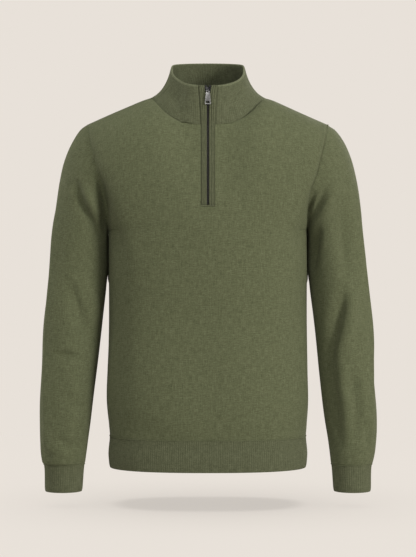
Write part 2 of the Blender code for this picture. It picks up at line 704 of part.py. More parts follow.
def build_zip_bands(line, normals):
    """The knitted strips along the zip, each of three wales."""
    rises = np.array([0, BAND_CREST, BAND_GROOVE, BAND_CREST, BAND_GROOVE, BAND_CREST, BAND_GROOVE])
    top = line[-1, 2]
    for side, name in ((1, "placket_left"), (-1, "placket_right")):
        sections = []
        for point, normal in zip(line, normals):
            inner_edge = mix(BAND_INNER, BAND_PARTED, ease(top - BAND_PARTS_OVER, top, point[2]))
            x = np.linspace(point[0] - SEAM_GAP, inner_edge, len(rises))
            face = stacked(x, point[1] + normal[1] * rises, point[2] + normal[2] * rises)
            back = face[[-1, 0]] * (1, 0, 0) + (0, *(point[1:] - normal[1:] * BAND_DEEP))
            sections.append(np.concatenate([face, back]) * (side, 1, 1))
        swept(name, sections, RIB_CLOTH)


def build_placket_foot(line, normals):
    """The bar that closes the bands at the foot of the slit, on the front's cloth."""
    point, normal = line[0], normals[0]
    down = np.array((0, *unit(line[0, 1:] - line[1, 1:])))
    sections = []
    near = normal * FOOT_BAR_OFF
    far = normal * (FOOT_BAR_OFF + FOOT_BAR_THICK)
    for x in np.linspace(-SLIT_HALF - FOOT_BAR_OFF, SLIT_HALF + FOOT_BAR_OFF, 7):
        root = np.array((x, point[1], point[2])) + down * FOOT_BAR_OFF
        low = root + down * FOOT_BAR_HEIGHT
        sections.append(np.array([root + near, root + far, low + far, low + near]))
    swept("placket_foot", sections, RIB_CLOTH)


def build_tapes(line, normals):
    """The two zip tapes, each with its half of the closed chain up to the slider."""
    for side, name in ((1, "zip_tape_left"), (-1, "zip_tape_right")):
        sections = []
        for point, normal in zip(line, normals):
            parted = point[2] > SLIDER_HEIGHT - SLIDER_LENGTH / 2 - 2 * SEAM_GAP
            near = TAPE_PARTED if parted else SEAM_GAP / 2
            front = TAPE_FRONT if parted else CHAIN_FRONT
            far = SLIT_HALF - TAPE_INSIDE_SLIT
            x = np.array([near, far, far, CHAIN_HALF, CHAIN_HALF, near])
            deep = np.array([TAPE_BACK, TAPE_BACK, TAPE_FRONT, TAPE_FRONT, front, front])
            sections.append(
                stacked(x, point[1] - normal[1] * deep, point[2] - normal[2] * deep) * (side, 1, 1)
            )
        swept(name, sections, TAPE)


def at_slider(line, normals, height):
    """The place on the zip's line at a height, with its lean from upright."""
    y = np.interp(height, line[:, 2], line[:, 1])
    lean_y = np.interp(height, line[:, 2], normals[:, 1])
    lean_z = np.interp(height, line[:, 2], normals[:, 2])
    return Vector((0, y, height)), math.atan2(-lean_z, -lean_y)


def metal(ob, rough):
    shader = ob.data.materials[0].node_tree.nodes["Principled BSDF"]
    shader.inputs["Roughness"].default_value = rough
    shader.inputs["Metallic"].default_value = 1.0


def box_guide(name, width, length, height):
    """A box to cut through the tab, as wide and long as given, its middle at a height in the tab's axes."""
    x, y, z = width / 2, TAB_THICK * 2, length / 2
    sections = [
        np.array([(-x, -y, height + end), (x, -y, height + end), (x, y, height + end), (-x, y, height + end)])
        for end in (-z, z)
    ]
    return swept(name, sections, METAL)


def combine(ob, other, kind):
    modifier = ob.modifiers.new(other.name, "BOOLEAN")
    modifier.operation = kind
    modifier.object = other
    other.hide_render = True
    other.display_type = "WIRE"


def build_slider(place, lean):
    """The slider: a front plate over the chain, a post, a back plate and the bail arched over its axis."""
    turn = Matrix.Translation(place) @ Matrix.Rotation(lean, 4, "X")
    half = SLIDER_WIDTH / 2
    right = [
        (half, SLIDER_FRONT), (half, SLIDER_THROAT), (POST_HALF, SLIDER_THROAT),
        (POST_HALF, SLIDER_REAR), (half, SLIDER_REAR), (half, SLIDER_BACK),
    ]
    outline = right + [(-x, y) for x, y in reversed(right)]
    sections = []
    for z, waist in SLIDER_WAISTS:
        sections.append(
            np.array([(x * waist if abs(x) > POST_HALF else x, y, z * SLIDER_LENGTH) for x, y in outline])
        )
    slider = swept("zip_slider", sections, METAL)
    metal(slider, 0.35)
    root = SLIDER_FRONT + BAIL_ROOT
    arch = []
    for radius in (BAIL_OUTER, BAIL_INNER):
        turns = np.linspace(0, math.pi, 13)
        bow = [(-PIVOT_HEIGHT - radius * math.sin(a), radius * math.cos(a)) for a in turns]
        arch.append([(root, radius)] + bow + [(root, -radius)])
    ring = arch[0] + arch[1][::-1]
    sides = [
        np.array([(x, y, z - PIVOT_DROP) for y, z in ring]) for x in (-BAIL_HALF_WIDTH, BAIL_HALF_WIDTH)
    ]
    bail = swept("bail_guide", sides, METAL)
    combine(slider, bail, "UNION")
    slider.matrix_world = turn
    bail.matrix_world = turn
    return turn


def build_tab(turn):
    """The pull tab, hanging from the bail. Its origin lies on its axis."""
    stations = (
        (TAB_BAR_HALF, TAB_BAR_WIDTH),
        (-TAB_NECK, TAB_TOP_WIDTH * TAB_NECK_SHARE),
        (-TAB_SHOULDER, TAB_TOP_WIDTH),
        (TAB_CORNER - TAB_LENGTH, TAB_FOOT_WIDTH),
        (-TAB_LENGTH, TAB_FOOT_WIDTH - TAB_CORNER),
    )
    sections = []
    for z, width in stations:
        x, y = width / 2, TAB_THICK / 2
        sections.append(np.array([(-x, -y, z), (x, -y, z), (x, y, z), (-x, y, z)]))
    tab = swept("zip_pull_tab", sections, METAL)
    metal(tab, 0.4)
    eye = box_guide("eye_guide", EYE_WIDTH, EYE_LENGTH, -TAB_BAR_HALF - EYE_LENGTH / 2)
    slot = box_guide("slot_guide", SLOT_WIDTH, SLOT_LENGTH, SLOT_ABOVE_END - TAB_LENGTH)
    combine(tab, eye, "DIFFERENCE")
    combine(tab, slot, "DIFFERENCE")
    hung = turn @ Matrix.Translation((0, -PIVOT_HEIGHT, -PIVOT_DROP))
    for ob in (tab, eye, slot):
        ob.matrix_world = hung


def build_all():
    for ob in list(bpy.data.objects):
        bpy.data.objects.remove(ob, do_unlink=True)
    grids = build_panels()
    build_sleeves()
    build_cuffs()
    build_hem()
    collar = build_collar(grids)
    line, normals = zip_line(grids, collar)
    build_zip_bands(line, normals)
    build_placket_foot(line, normals)
    build_tapes(line, normals)
    place, lean = at_slider(line, normals, SLIDER_HEIGHT)
    turn = build_slider(place, lean)
    build_tab(turn)


build_all()
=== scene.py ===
import json
import math
from collections import namedtuple
from functools import partial

import bmesh
import bpy
import numpy as np
from mathutils import Matrix, Vector

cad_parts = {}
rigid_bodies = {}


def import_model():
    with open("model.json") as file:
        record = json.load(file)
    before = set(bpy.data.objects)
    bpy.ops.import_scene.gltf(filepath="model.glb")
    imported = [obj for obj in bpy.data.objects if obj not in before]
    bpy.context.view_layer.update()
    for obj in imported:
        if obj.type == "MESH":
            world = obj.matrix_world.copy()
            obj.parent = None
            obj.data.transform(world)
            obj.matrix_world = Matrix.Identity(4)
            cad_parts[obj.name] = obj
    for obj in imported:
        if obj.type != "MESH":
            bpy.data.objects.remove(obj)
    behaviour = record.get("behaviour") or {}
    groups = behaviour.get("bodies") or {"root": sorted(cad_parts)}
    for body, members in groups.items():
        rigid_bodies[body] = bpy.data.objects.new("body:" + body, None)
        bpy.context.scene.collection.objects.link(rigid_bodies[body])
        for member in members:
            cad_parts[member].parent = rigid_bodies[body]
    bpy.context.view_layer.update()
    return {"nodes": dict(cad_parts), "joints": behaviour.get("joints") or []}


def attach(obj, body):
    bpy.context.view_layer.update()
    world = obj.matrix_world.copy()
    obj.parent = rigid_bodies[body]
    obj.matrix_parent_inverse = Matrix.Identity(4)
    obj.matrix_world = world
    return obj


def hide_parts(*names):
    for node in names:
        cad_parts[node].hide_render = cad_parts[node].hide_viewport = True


for ob in list(bpy.data.objects):
    bpy.data.objects.remove(ob, do_unlink=True)

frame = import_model()
print("frame loaded,", len(frame["nodes"]), "nodes")

# metres, and millimetres in tables; +X is the wearer's left, -Y the front, +Z up

cloth = {
    "jersey": 0.0020,      # thickness of the plain knit
    "rib": 0.0028,         # of the hem and cuff ribs
    "band": 0.0040,        # of the doubled collar
    "seamGap": 0.0003,
    "seamRoll": 0.0004,    # how far an edge turns in at its seam
}
ribs = {"pitch": 0.0038, "height": 0.00042, "crest": 0.4, "columns": 6, "inStep": 3}
faceNames = {-1: "front", 1: "back"}


# small tools for curves and grids

def columns(names, *rows):
    return dict(zip(names.split(), np.array(rows, float).T / 1000))


def follow(table, name, at):
    # a smooth reading of one column against the table's first
    knots, values = next(iter(table.values())), table[name]
    slopes = np.gradient(values, knots)
    at = np.clip(at, knots[0], knots[-1])
    i = np.clip(np.searchsorted(knots, at) - 1, 0, len(knots) - 2)
    step = knots[i + 1] - knots[i]
    t = (at - knots[i]) / step
    return ((1 + 2 * t) * (1 - t) ** 2 * values[i] + t * (1 - t) ** 2 * step * slopes[i]
            + t * t * (3 - 2 * t) * values[i + 1] + t * t * (t - 1) * step * slopes[i + 1])


def readAt(at, knots, points):
    return np.stack([np.interp(at, knots, points[:, k]) for k in range(3)], axis=-1)


def mix(a, b, share):
    return a + (b - a) * share


def ease(low, high, at):
    t = np.clip((at - low) / (high - low), 0, 1)
    return t * t * (3 - 2 * t)


def bell(at, wide):
    return np.exp(-((at / wide) ** 2))


def unit(vectors):
    return vectors / np.maximum(np.linalg.norm(vectors, axis=-1, keepdims=True), 1e-12)


def stacked(x, y, z):
    return np.stack(np.broadcast_arrays(x, y, z), axis=-1).astype(float)


def slopeOf(points, axis, wrap):
    if wrap:
        return np.roll(points, -1, axis) - np.roll(points, 1, axis)
    return np.gradient(points, axis=axis)


def normalsOf(points, outward, wrap=False):
    normals = unit(np.cross(slopeOf(points, 1, wrap), slopeOf(points, 0, False)))
    return normals * np.sign((normals * outward).sum(-1).sum())


def runAlong(points, axis):
    # length along each row or column of a grid, starting from 0
    steps = np.linalg.norm(np.diff(points, axis=axis), axis=-1)
    first = np.zeros_like(np.take(steps, [0], axis=axis))
    return np.concatenate([first, np.cumsum(steps, axis=axis)], axis=axis)


def lineRun(line):
    return runAlong(line[None], 1)[0]


def smoothPath(path, count=14):
    ends = np.concatenate([[2 * path[0] - path[1]], path, [2 * path[-1] - path[-2]]])
    at = np.linspace(0, len(path) - 1, count)
    i = np.minimum(at.astype(int), len(path) - 2)
    t = (at - i)[:, None]
    a, b, c, d = (ends[i + k] for k in range(4))
    return 0.5 * (2 * b + (c - a) * t + (2 * a - 5 * b + 4 * c - d) * t**2
                  + (3 * b - a - 3 * c + d) * t**3)


Fold = namedtuple("Fold", "face width rise lean path")


def foldTable(*rows):
    # face, half width, rise (a trough is negative), lean of its flanks, then x and z along its path
    return [Fold(face, width / 1000, rise / 1000, lean, np.reshape(path, (-1, 2)) / 1000)
            for face, width, rise, lean, *path in rows]


def foldShape(points, fold):
    # a fold's rise over cloth seen from the front or the back
    path = smoothPath(fold.path)
    nearest = np.full(points.shape[:2], 1e9)
    along, side = np.zeros((2, *points.shape[:2]))
    for k in range(len(path) - 1):
        run = path[k + 1] - path[k]
        off = points[..., [0, 2]] - path[k]
        share = np.clip((off @ run) / (run @ run), 0, 1)
        away = np.linalg.norm(off - share[..., None] * run, axis=-1)
        near = away < nearest
        nearest = np.where(near, away, nearest)
        along = np.where(near, (k + share) / (len(path) - 1), along)
        side = np.where(near, np.sign(off[..., 0] * run[1] - off[..., 1] * run[0]), side)
    taper = np.sin(math.pi * np.clip(0.04 + 0.92 * along, 0, 1)) ** 0.7
    return fold.rise * taper * bell(nearest, fold.width * (1 + fold.lean * side))


def creased(points, normals, folds, fade):
    # moves cloth along its normals by soft troughs and ridges
    rise = sum(foldShape(points, fold) * ease(0.05, 0.5, normals[..., 1] * fold.face)
               for fold in folds)
    return points + normals * (rise * fade)[..., None]


def pressed(points, folds):
    # pushes cloth straight in, alike on both sides of a seam
    moved = points.copy()
    for fold in folds:
        onFace = ease(0.010, 0.035, points[..., 1] * fold.face)
        moved[..., 1] += foldShape(points, fold) * onFace * fold.face
    return moved


def wandered(points, normals, seed, reach, size, fade):
    # a slow unevenness, as hung cloth has
    draw = np.random.default_rng(seed)
    rise = np.zeros(points.shape[:2])
    for _ in range(9):
        way = unit(draw.normal(size=3)) * draw.uniform(0.6, 1.6) * 2 * math.pi / size
        rise += np.sin(points @ way + draw.uniform(0, 6.3))
    return points + normals * (rise * reach / 3 * fade)[..., None]


def hung(points, normals, creases, fade, seed, look):
    calm = fade * touchFade(points)
    points = creased(points, normals, creases, fade)
    return pressed(wandered(points, normals, seed, look["wander"], look["wanderSize"], calm), armholeFolds)


def edgeFade(shape, cells, wrap=False):
    # 0 at a grid's sewn edges, 1 a few cells in
    rows, across = (ease(0, cells, np.minimum(np.arange(n), np.arange(n)[::-1])) for n in shape[:2])
    return rows[:, None] * (np.ones(shape[1]) if wrap else across)


def rolledEdges(outer, normals, wrap=False):
    # turns the outer face in towards its seams
    sink = np.zeros(outer.shape[:2])
    for k, share in enumerate((1.0, 0.35, 0.08)):
        sink[[k, -1 - k]] = np.maximum(sink[[k, -1 - k]], share)
        if not wrap:
            sink[:, [k, -1 - k]] = np.maximum(sink[:, [k, -1 - k]], share)
    return outer - normals * (sink * cloth["seamRoll"])[..., None]


def clothSize(grid, wrap=False):
    # width, length and area of the cut that a grid stands for
    if wrap:
        grid = np.concatenate([grid, grid[:, :1]], axis=1)
    down, over = np.diff(grid, axis=0), np.diff(grid, axis=1)
    halves = np.cross(down[:, :-1], over[:-1]), np.cross(down[:, 1:], over[1:])
    area = sum(np.linalg.norm(half, axis=-1).sum() for half in halves) / 2
    width, length = runAlong(grid, 1)[:, -1].max(), runAlong(grid, 0)[-1].max()
    return float(width), float(length), float(min(area, width * length))


# meshes

def linked(name, data):
    ob = bpy.data.objects.new(name, data)
    bpy.context.scene.collection.objects.link(ob)
    return ob


def finished(mesh, material, smoothUnder, merge=None):
    loose = bmesh.new()
    loose.from_mesh(mesh)
    if merge:
        bmesh.ops.remove_doubles(loose, verts=loose.verts, dist=merge)
    bmesh.ops.recalc_face_normals(loose, faces=loose.faces)
    loose.to_mesh(mesh)
    loose.free()
    mesh.shade_smooth()
    mesh.set_sharp_from_angle(angle=math.radians(smoothUnder))
    mesh.materials.clear()
    mesh.materials.append(material)
    return mesh


def addPiece(name, vertices, faces, material, places=None, smoothUnder=55):
    mesh = bpy.data.meshes.new(name)
    mesh.from_pydata([tuple(v) for v in vertices], [], [tuple(int(i) for i in f) for f in faces])
    if places is not None:
        layer = mesh.uv_layers.new(name="clothPlace")
        loops = np.zeros(len(mesh.loops), int)
        mesh.loops.foreach_get("vertex_index", loops)
        layer.data.foreach_set("uv", np.asarray(places)[loops].astype(np.float32).ravel())
    return linked(name, finished(mesh, material, smoothUnder))


def clothShell(name, face, normals, places, keep=None, wrap=False):
    # a closed thin wall of jersey behind a grid; keep marks the cells that are cloth
    outer, inner = rolledEdges(face, normals, wrap), face - cloth["jersey"] * normals
    rows, across = outer.shape[:2]
    if keep is None:
        keep = np.ones((rows - 1, across if wrap else across - 1), bool)
    r, c = np.nonzero(keep)
    low, high, beside = r * across, (r + 1) * across, (c + 1) % across
    ring = np.stack([low + c, low + beside, high + beside, high + c], axis=1)
    under = rows * across
    a, b = ring.ravel(), np.roll(ring, -1, axis=1).ravel()
    rim = ~np.isin(a * under + b, b * under + a)
    a, b = a[rim], b[rim]
    edge = np.stack([b, a, a + under, b + under], axis=1)
    faces = np.concatenate([ring, ring[:, ::-1] + under, edge])
    used, index = np.unique(faces, return_inverse=True)
    vertices = np.concatenate([outer.reshape(-1, 3), inner.reshape(-1, 3)])[used]
    flat = np.concatenate([places.reshape(-1, 2)] * 2)[used]
    return addPiece(name, vertices, index.reshape(-1, 4), jerseyKnit, flat)


def loopShell(name, grid, places, wrap=False):
    # a closed wall whose rows go up its outer face, over its edge and down its inner face
    rows, across = grid.shape[:2]
    r, c = (part.ravel() for part in np.indices((rows, across if wrap else across - 1)))
    low, high, beside = r * across, (r + 1) % rows * across, (c + 1) % across
    faces = np.stack([low + c, low + beside, high + beside, high + c], axis=1).tolist()
    if not wrap:
        ends = np.arange(rows) * across
        faces += [ends.tolist(), (ends + across - 1)[::-1].tolist()]
    return addPiece(name, grid.reshape(-1, 3), faces, ribKnit, places.reshape(-1, 2), 70)


def sweptFaces(count, total, closed=False, first=0):
    # faces of a solid of several rings, whose first vertex is given
    faces = []
    for k in range(total if closed else total - 1):
        low, high = first + k * count, first + (k + 1) % total * count
        for i in range(count):
            beside = (i + 1) % count
            faces.append((low + i, low + beside, high + beside, high + i))
    if not closed:
        last = first + (total - 1) * count
        faces += [range(first, first + count)[::-1], range(last, last + count)]
    return faces


def swept(name, sections, material, smoothUnder=40, places=None, closed=False):
    faces = sweptFaces(len(sections[0]), len(sections), closed)
    return addPiece(name, np.concatenate(sections), faces, material, places, smoothUnder)


def joined(name, *parts):
    with bpy.context.temp_override(active_object=parts[0], selected_editable_objects=list(parts)):
        bpy.ops.object.join()
    parts[0].name = parts[0].data.name = name
    return parts[0]


# shader tools and groups

def feed(tree, node, inputs):
    for key, value in inputs.items():
        if isinstance(value, (int, float, tuple)):
            node.inputs[key].default_value = value
        elif value is not None:
            tree.links.new(value, node.inputs[key])
    return node


def addNode(tree, kind, inputs, **settings):
    node = tree.nodes.new("ShaderNode" + kind)
    for name, value in settings.items():
        setattr(node, name, value)
    return feed(tree, node, inputs)


def mathNode(tree, operation, a, b=None, c=None, clamp=False):
    return addNode(tree, "Math", {0: a, 1: b, 2: c}, operation=operation, use_clamp=clamp).outputs[0]


def mixNode(tree, share, a, b):
    return addNode(tree, "Mix", {0: share, 6: a, 7: b}, data_type="RGBA").outputs[2]


def noiseNode(tree, place, scale, detail=3.0, rough=0.6, stretch=None):
    if stretch is not None:
        place = addNode(tree, "Mapping", {"Vector": place, "Scale": stretch}).outputs["Vector"]
    inputs = {"Vector": place, "Scale": scale, "Detail": detail, "Roughness": rough}
    return addNode(tree, "TexNoise", inputs).outputs["Fac"]


def newGroup(name, inputs, outputs):
    group = bpy.data.node_groups.new(name, "ShaderNodeTree")
    for label, kind, *value in inputs:
        socket = group.interface.new_socket(label, in_out="INPUT", socket_type="NodeSocket" + kind)
        if value:
            socket.default_value = value[0]
    for label, kind in outputs:
        group.interface.new_socket(label, in_out="OUTPUT", socket_type="NodeSocket" + kind)
    return group, group.nodes.new("NodeGroupInput").outputs, group.nodes.new("NodeGroupOutput")


def makeKnitLoops():
    # rows of V shaped loops: Height of the yarn, and Gap between the loops
    group, given, end = newGroup(
        "knitLoops",
        (("Place", "Vector"), ("Wale", "Float", 0.0024),
         ("Course", "Float", 0.0019), ("Slant", "Float", 0.9)),
        (("Height", "Float"), ("Gap", "Float")),
    )
    do = partial(mathNode, group)
    split = addNode(group, "SeparateXYZ", {0: given["Place"]}).outputs
    across = do("FRACT", do("DIVIDE", split["X"], given["Wale"]))
    side = do("MULTIPLY", do("ABSOLUTE", do("SUBTRACT", across, 0.5)), 2.0)
    rows = do("DIVIDE", split["Y"], given["Course"])
    phase = do("FRACT", do("ADD", rows, do("MULTIPLY", side, given["Slant"])))
    bow, leg = (do("SINE", do("MULTIPLY", part, math.pi)) for part in (phase, side))
    height = do("POWER", do("MULTIPLY", bow, leg), 0.6)
    feed(group, end, {"Height": height, "Gap": do("SUBTRACT", 1.0, height, clamp=True)})
    return group


melange = {"mottle": 0.10, "courses": 0.33, "wales": 0.25, "grain": 0.32, "middle": 0.50, "contrast": 6.0,
           "fibresFrom": 0.55, "fibres": 1.6, "shadeBetweenLoops": 0.30}


def makeYarnTone():
    # melange yarn: slow mottle, faint uneven courses and wales, fibre specks, and painted shade that darkens
    # it between the loops
    group, given, end = newGroup(
        "yarnTone",
        (("Place", "Vector"), ("Cloth Place", "Vector"), ("Gap", "Float", 0.0),
         ("Yarn", "Color", (0.1, 0.1, 0.05, 1)), ("Pale", "Color", (0.16, 0.17, 0.09, 1)),
         ("Dark", "Color", (0.05, 0.055, 0.03, 1))),
        (("Color", "Color"), ("Fuzz", "Float")),
    )
    do, blend = partial(mathNode, group), partial(mixNode, group)
    spread = partial(noiseNode, group, given["Cloth Place"], 1.0)
    mottle, courses = spread(1.0, 0.6, (70.0, 150.0, 1.0)), spread(2.0, 0.65, (120.0, 560.0, 1.0))
    wales, grain = spread(2.0, 0.65, (560.0, 60.0, 1.0)), spread(2.0, 0.7, (420.0, 700.0, 1.0))
    specks = noiseNode(group, given["Place"], 1500.0, 2.0, 0.7)
    m = melange
    slow = do("MULTIPLY_ADD", mottle, m["mottle"], do("MULTIPLY", courses, m["courses"]))
    slow = do("MULTIPLY_ADD", grain, m["grain"], slow)
    slow = do("MULTIPLY_ADD", wales, m["wales"], slow)
    toPale = do("MULTIPLY", do("SUBTRACT", slow, m["middle"], clamp=True), m["contrast"])
    toDark = do("MULTIPLY", do("SUBTRACT", m["middle"], slow, clamp=True), m["contrast"])
    fibres = do("MULTIPLY", do("SUBTRACT", specks, m["fibresFrom"], clamp=True), m["fibres"])
    color = blend(toDark, blend(toPale, given["Yarn"], given["Pale"]), given["Dark"])
    color = blend(fibres, color, given["Pale"])
    # painted shade: the yarn darkened towards Dark where the loops leave gaps
    color = blend(do("MULTIPLY", given["Gap"], m["shadeBetweenLoops"]), color, given["Dark"])
    feed(group, end, {"Color": color, "Fuzz": specks})
    return group


def makeWornMetal():
    # fine scratches and dulled patches: Wear feeds colour and roughness, Height the bump
    group, given, end = newGroup("wornMetal", (("Place", "Vector"), ("Scratch", "Float", 0.5)),
                                 (("Wear", "Float"), ("Height", "Float")))
    cloud = noiseNode(group, given["Place"], 420.0, 4.0, 0.6)
    lines = noiseNode(group, given["Place"], 1.0, 3.0, 0.7, (5200.0, 5200.0, 420.0))
    wear = mathNode(group, "MULTIPLY_ADD", lines, given["Scratch"], mathNode(group, "MULTIPLY", cloud, 0.6))
    feed(group, end, {"Wear": wear, "Height": lines})
    return group


knitLoops, yarnTone, wornMetal = makeKnitLoops(), makeYarnTone(), makeWornMetal()


# materials

def newMaterial(name):
    material = bpy.data.materials.new(name)
    material.use_nodes = True
    tree = material.node_tree
    return material, tree, tree.nodes["Principled BSDF"], addNode(tree, "TexCoord", {}).outputs["Object"]


def bumped(tree, height, distance, strength, under=None):
    inputs = {"Height": height, "Distance": distance, "Strength": strength, "Normal": under}
    return addNode(tree, "Bump", inputs).outputs["Normal"]


# yarn, pale and dark colours of each knit, the size of its loops and how far they and its nap show
wool = {
    "jerseyKnit": {
        "yarn": (0.103, 0.115, 0.061, 1), "pale": (0.166, 0.183, 0.106, 1), "dark": (0.051, 0.057, 0.0285, 1),
        "wale": 0.0024, "course": 0.0019, "slant": 0.9, "relief": 0.7, "sheen": 0.10},
    "ribKnit": {
        "yarn": (0.094, 0.103, 0.058, 1), "pale": (0.146, 0.159, 0.097, 1), "dark": (0.048, 0.053, 0.029, 1),
        "wale": 0.0019, "course": 0.0019, "slant": 0.9, "relief": 0.6, "sheen": 0.10},
    # a paler copy of the rib knit, a painted highlight: on the collar's folded crest and on the fashioning
    # marks
    "highlightKnit": {
        "yarn": (0.128, 0.141, 0.082, 1), "pale": (0.186, 0.203, 0.128, 1), "dark": (0.068, 0.075, 0.042, 1),
        "wale": 0.0019, "course": 0.0019, "slant": 0.9, "relief": 0.6, "sheen": 0.16},
    # the linked row's yarn is paler than the jersey: a real linking chain, with a painted highlight along the
    # joins of the ribs
    "linkYarnHighlight": {
        "yarn": (0.120, 0.133, 0.073, 1), "pale": (0.18, 0.20, 0.12, 1), "dark": (0.065, 0.072, 0.038, 1),
        "wale": 0.0012, "course": 0.0012, "slant": 0.6, "relief": 0.4, "sheen": 0.10},
}
woolFinish = {"Roughness": 0.95, "Specular IOR Level": 0.12, "Sheen Roughness": 0.45,
              "Sheen Tint": (0.62, 0.64, 0.45, 1)}
reliefs = {"loops": 0.0005, "fuzz": 0.0004, "fuzzShare": 0.35, "weave": 0.0002, "weaveShare": 0.5,
           "scratches": 0.00003, "scratchShare": 0.25}
zipCloth = {"tapeDark": (0.006, 0.006, 0.006, 1), "tapePale": (0.016, 0.016, 0.015, 1), "tapeRough": 0.8,
            "coilDark": (0.010, 0.010, 0.010, 1), "coilPale": (0.022, 0.021, 0.020, 1), "coilRough": 0.38}
metal = {
    "sliderMetal": {"deep": (0.012, 0.012, 0.012, 1), "bright": (0.060, 0.060, 0.062, 1),
                    "rough": (0.20, 0.38), "scratch": 0.5},
    "tabMetal": {"deep": (0.115, 0.115, 0.115, 1), "bright": (0.235, 0.235, 0.232, 1),
                 "rough": (0.30, 0.48), "scratch": 0.6},
}


def makeWool(name):
    look = wool[name]
    material, tree, shader, objectPlace = newMaterial(name)
    uv = addNode(tree, "UVMap", {}, uv_map="clothPlace").outputs["UV"]
    loops = addNode(tree, "Group", {}, node_tree=knitLoops)
    feed(tree, loops, {"Place": uv, "Wale": look["wale"], "Course": look["course"], "Slant": look["slant"]})
    tone = addNode(tree, "Group", {}, node_tree=yarnTone)
    feed(tree, tone, {"Place": objectPlace, "Cloth Place": uv, "Gap": loops.outputs["Gap"],
                      "Yarn": look["yarn"], "Pale": look["pale"], "Dark": look["dark"]})
    relief = bumped(tree, loops.outputs["Height"], reliefs["loops"], look["relief"])
    relief = bumped(tree, tone.outputs["Fuzz"], reliefs["fuzz"], reliefs["fuzzShare"], relief)
    feed(tree, shader, woolFinish)
    feed(tree, shader, {"Base Color": tone.outputs["Color"], "Normal": relief, "Sheen Weight": look["sheen"]})
    return material


def makeTapeWeave(name):
    material, tree, shader, objectPlace = newMaterial(name)
    inputs = {"Vector": objectPlace, "Scale": 420.0, "Distortion": 1.0}
    weave = addNode(tree, "TexWave", inputs, bands_direction="Z").outputs["Fac"]
    relief = bumped(tree, weave, reliefs["weave"], reliefs["weaveShare"])
    color = mixNode(tree, weave, zipCloth["tapeDark"], zipCloth["tapePale"])
    feed(tree, shader, {"Base Color": color, "Normal": relief, "Roughness": zipCloth["tapeRough"]})
    return material


def makeCoilNylon(name):
    material, tree, shader, objectPlace = newMaterial(name)
    cloud = noiseNode(tree, objectPlace, 700.0, 2.0)
    color = mixNode(tree, cloud, zipCloth["coilDark"], zipCloth["coilPale"])
    feed(tree, shader, {"Base Color": color, "Roughness": zipCloth["coilRough"]})
    return material


def makeMetal(name):
    look = metal[name]
    material, tree, shader, objectPlace = newMaterial(name)
    worn = addNode(tree, "Group", {}, node_tree=wornMetal)
    feed(tree, worn, {"Place": objectPlace, "Scratch": look["scratch"]})
    low, high = look["rough"]
    rough = addNode(tree, "MapRange", {"Value": worn.outputs["Wear"], "From Min": 0.3, "From Max": 0.9,
                                       "To Min": low, "To Max": high}).outputs["Result"]
    relief = bumped(tree, worn.outputs["Height"], reliefs["scratches"], reliefs["scratchShare"])
    color = mixNode(tree, worn.outputs["Wear"], look["deep"], look["bright"])
    feed(tree, shader, {"Base Color": color, "Metallic": 1.0, "Roughness": rough, "Normal": relief})
    return material


jerseyKnit, ribKnit, highlightKnit, linkYarnHighlight = (makeWool(name) for name in wool)
tapeWeave, coilNylon = makeTapeWeave("tapeWeave"), makeCoilNylon("coilNylon")
sliderMetal, tabMetal = (makeMetal(name) for name in metal)
print("materials made")

# front and back

bodySections = columns(
    "height half front back",
    (-663, 176.8, 116, 105),
    (-640, 178.6, 117, 106),
    (-607.5, 176.2, 115, 104),
    (-590, 177, 117, 105),
    (-549, 179.8, 121, 109),
    (-490, 179, 120, 107),
    (-400, 177.8, 118, 104),
    (-320, 178, 122, 109),
    (-240, 178.1, 127, 117),
)
armholeLine = columns(
    "height front back",
    (-240, 178.5, 178.5),
    (-205, 176.5, 179),
    (-170, 181.2, 185),
    (-145, 190.5, 193),
    (-115, 198.5, 200),
    (-85, 206.5, 207.5),
    (-49.5, 215.5, 215.5),
)
body = {
    "hemBottom": -0.663, "hemJoin": -0.6075, "underarm": -0.240,
    "square": 2.45,            # exponent of the body's oval sections
    "shoulderHalf": 0.2155, "shoulderDrop": 0.0495,
    "neckHalf": 0.101, "neckFront": 0.088, "neckBack": 0.072, "neckFrontDrop": 0.057, "neckBackRise": 0.004,
    "neckLift": (18, 58),      # degrees the cloth faces up at the neckline: in the middle, at the side
    "armholeDepth": 0.072,
    "armLean": (0.55, 0.15, 0.25),         # how far it faces out at the armhole: half way, underarm, tip
    "climb": (1.8, 2.4), "over": (1.0, 2.2),    # how it rounds up: at the slit, beside the neck
    "backLow": 0.22, "edgePull": 5, "settle": 70, "settleTop": 6, "bendReach": 9, "bendSettle": 60,
    "wander": 0.0011, "wanderSize": 0.16,
    "bodyRows": 126, "armRows": 80, "footRow": 16, "slitColumns": 4, "neckColumns": 28, "sideColumns": 54,
}
slit = {"half": 0.0123, "foot": -0.199}

# where body and sleeve hang against each other below the armhole: no unevenness there, and the back's cloth
# stands out a little behind the sleeve
touch = {"x": 0.179, "wide": 0.011, "deep": 0.045, "low": -0.350, "high": -0.325,
         "bulge": 0.0066, "bulgeAt": 0.030, "bulgeWide": 0.010, "bulgeTop": -0.241, "bulgeFull": -0.249}

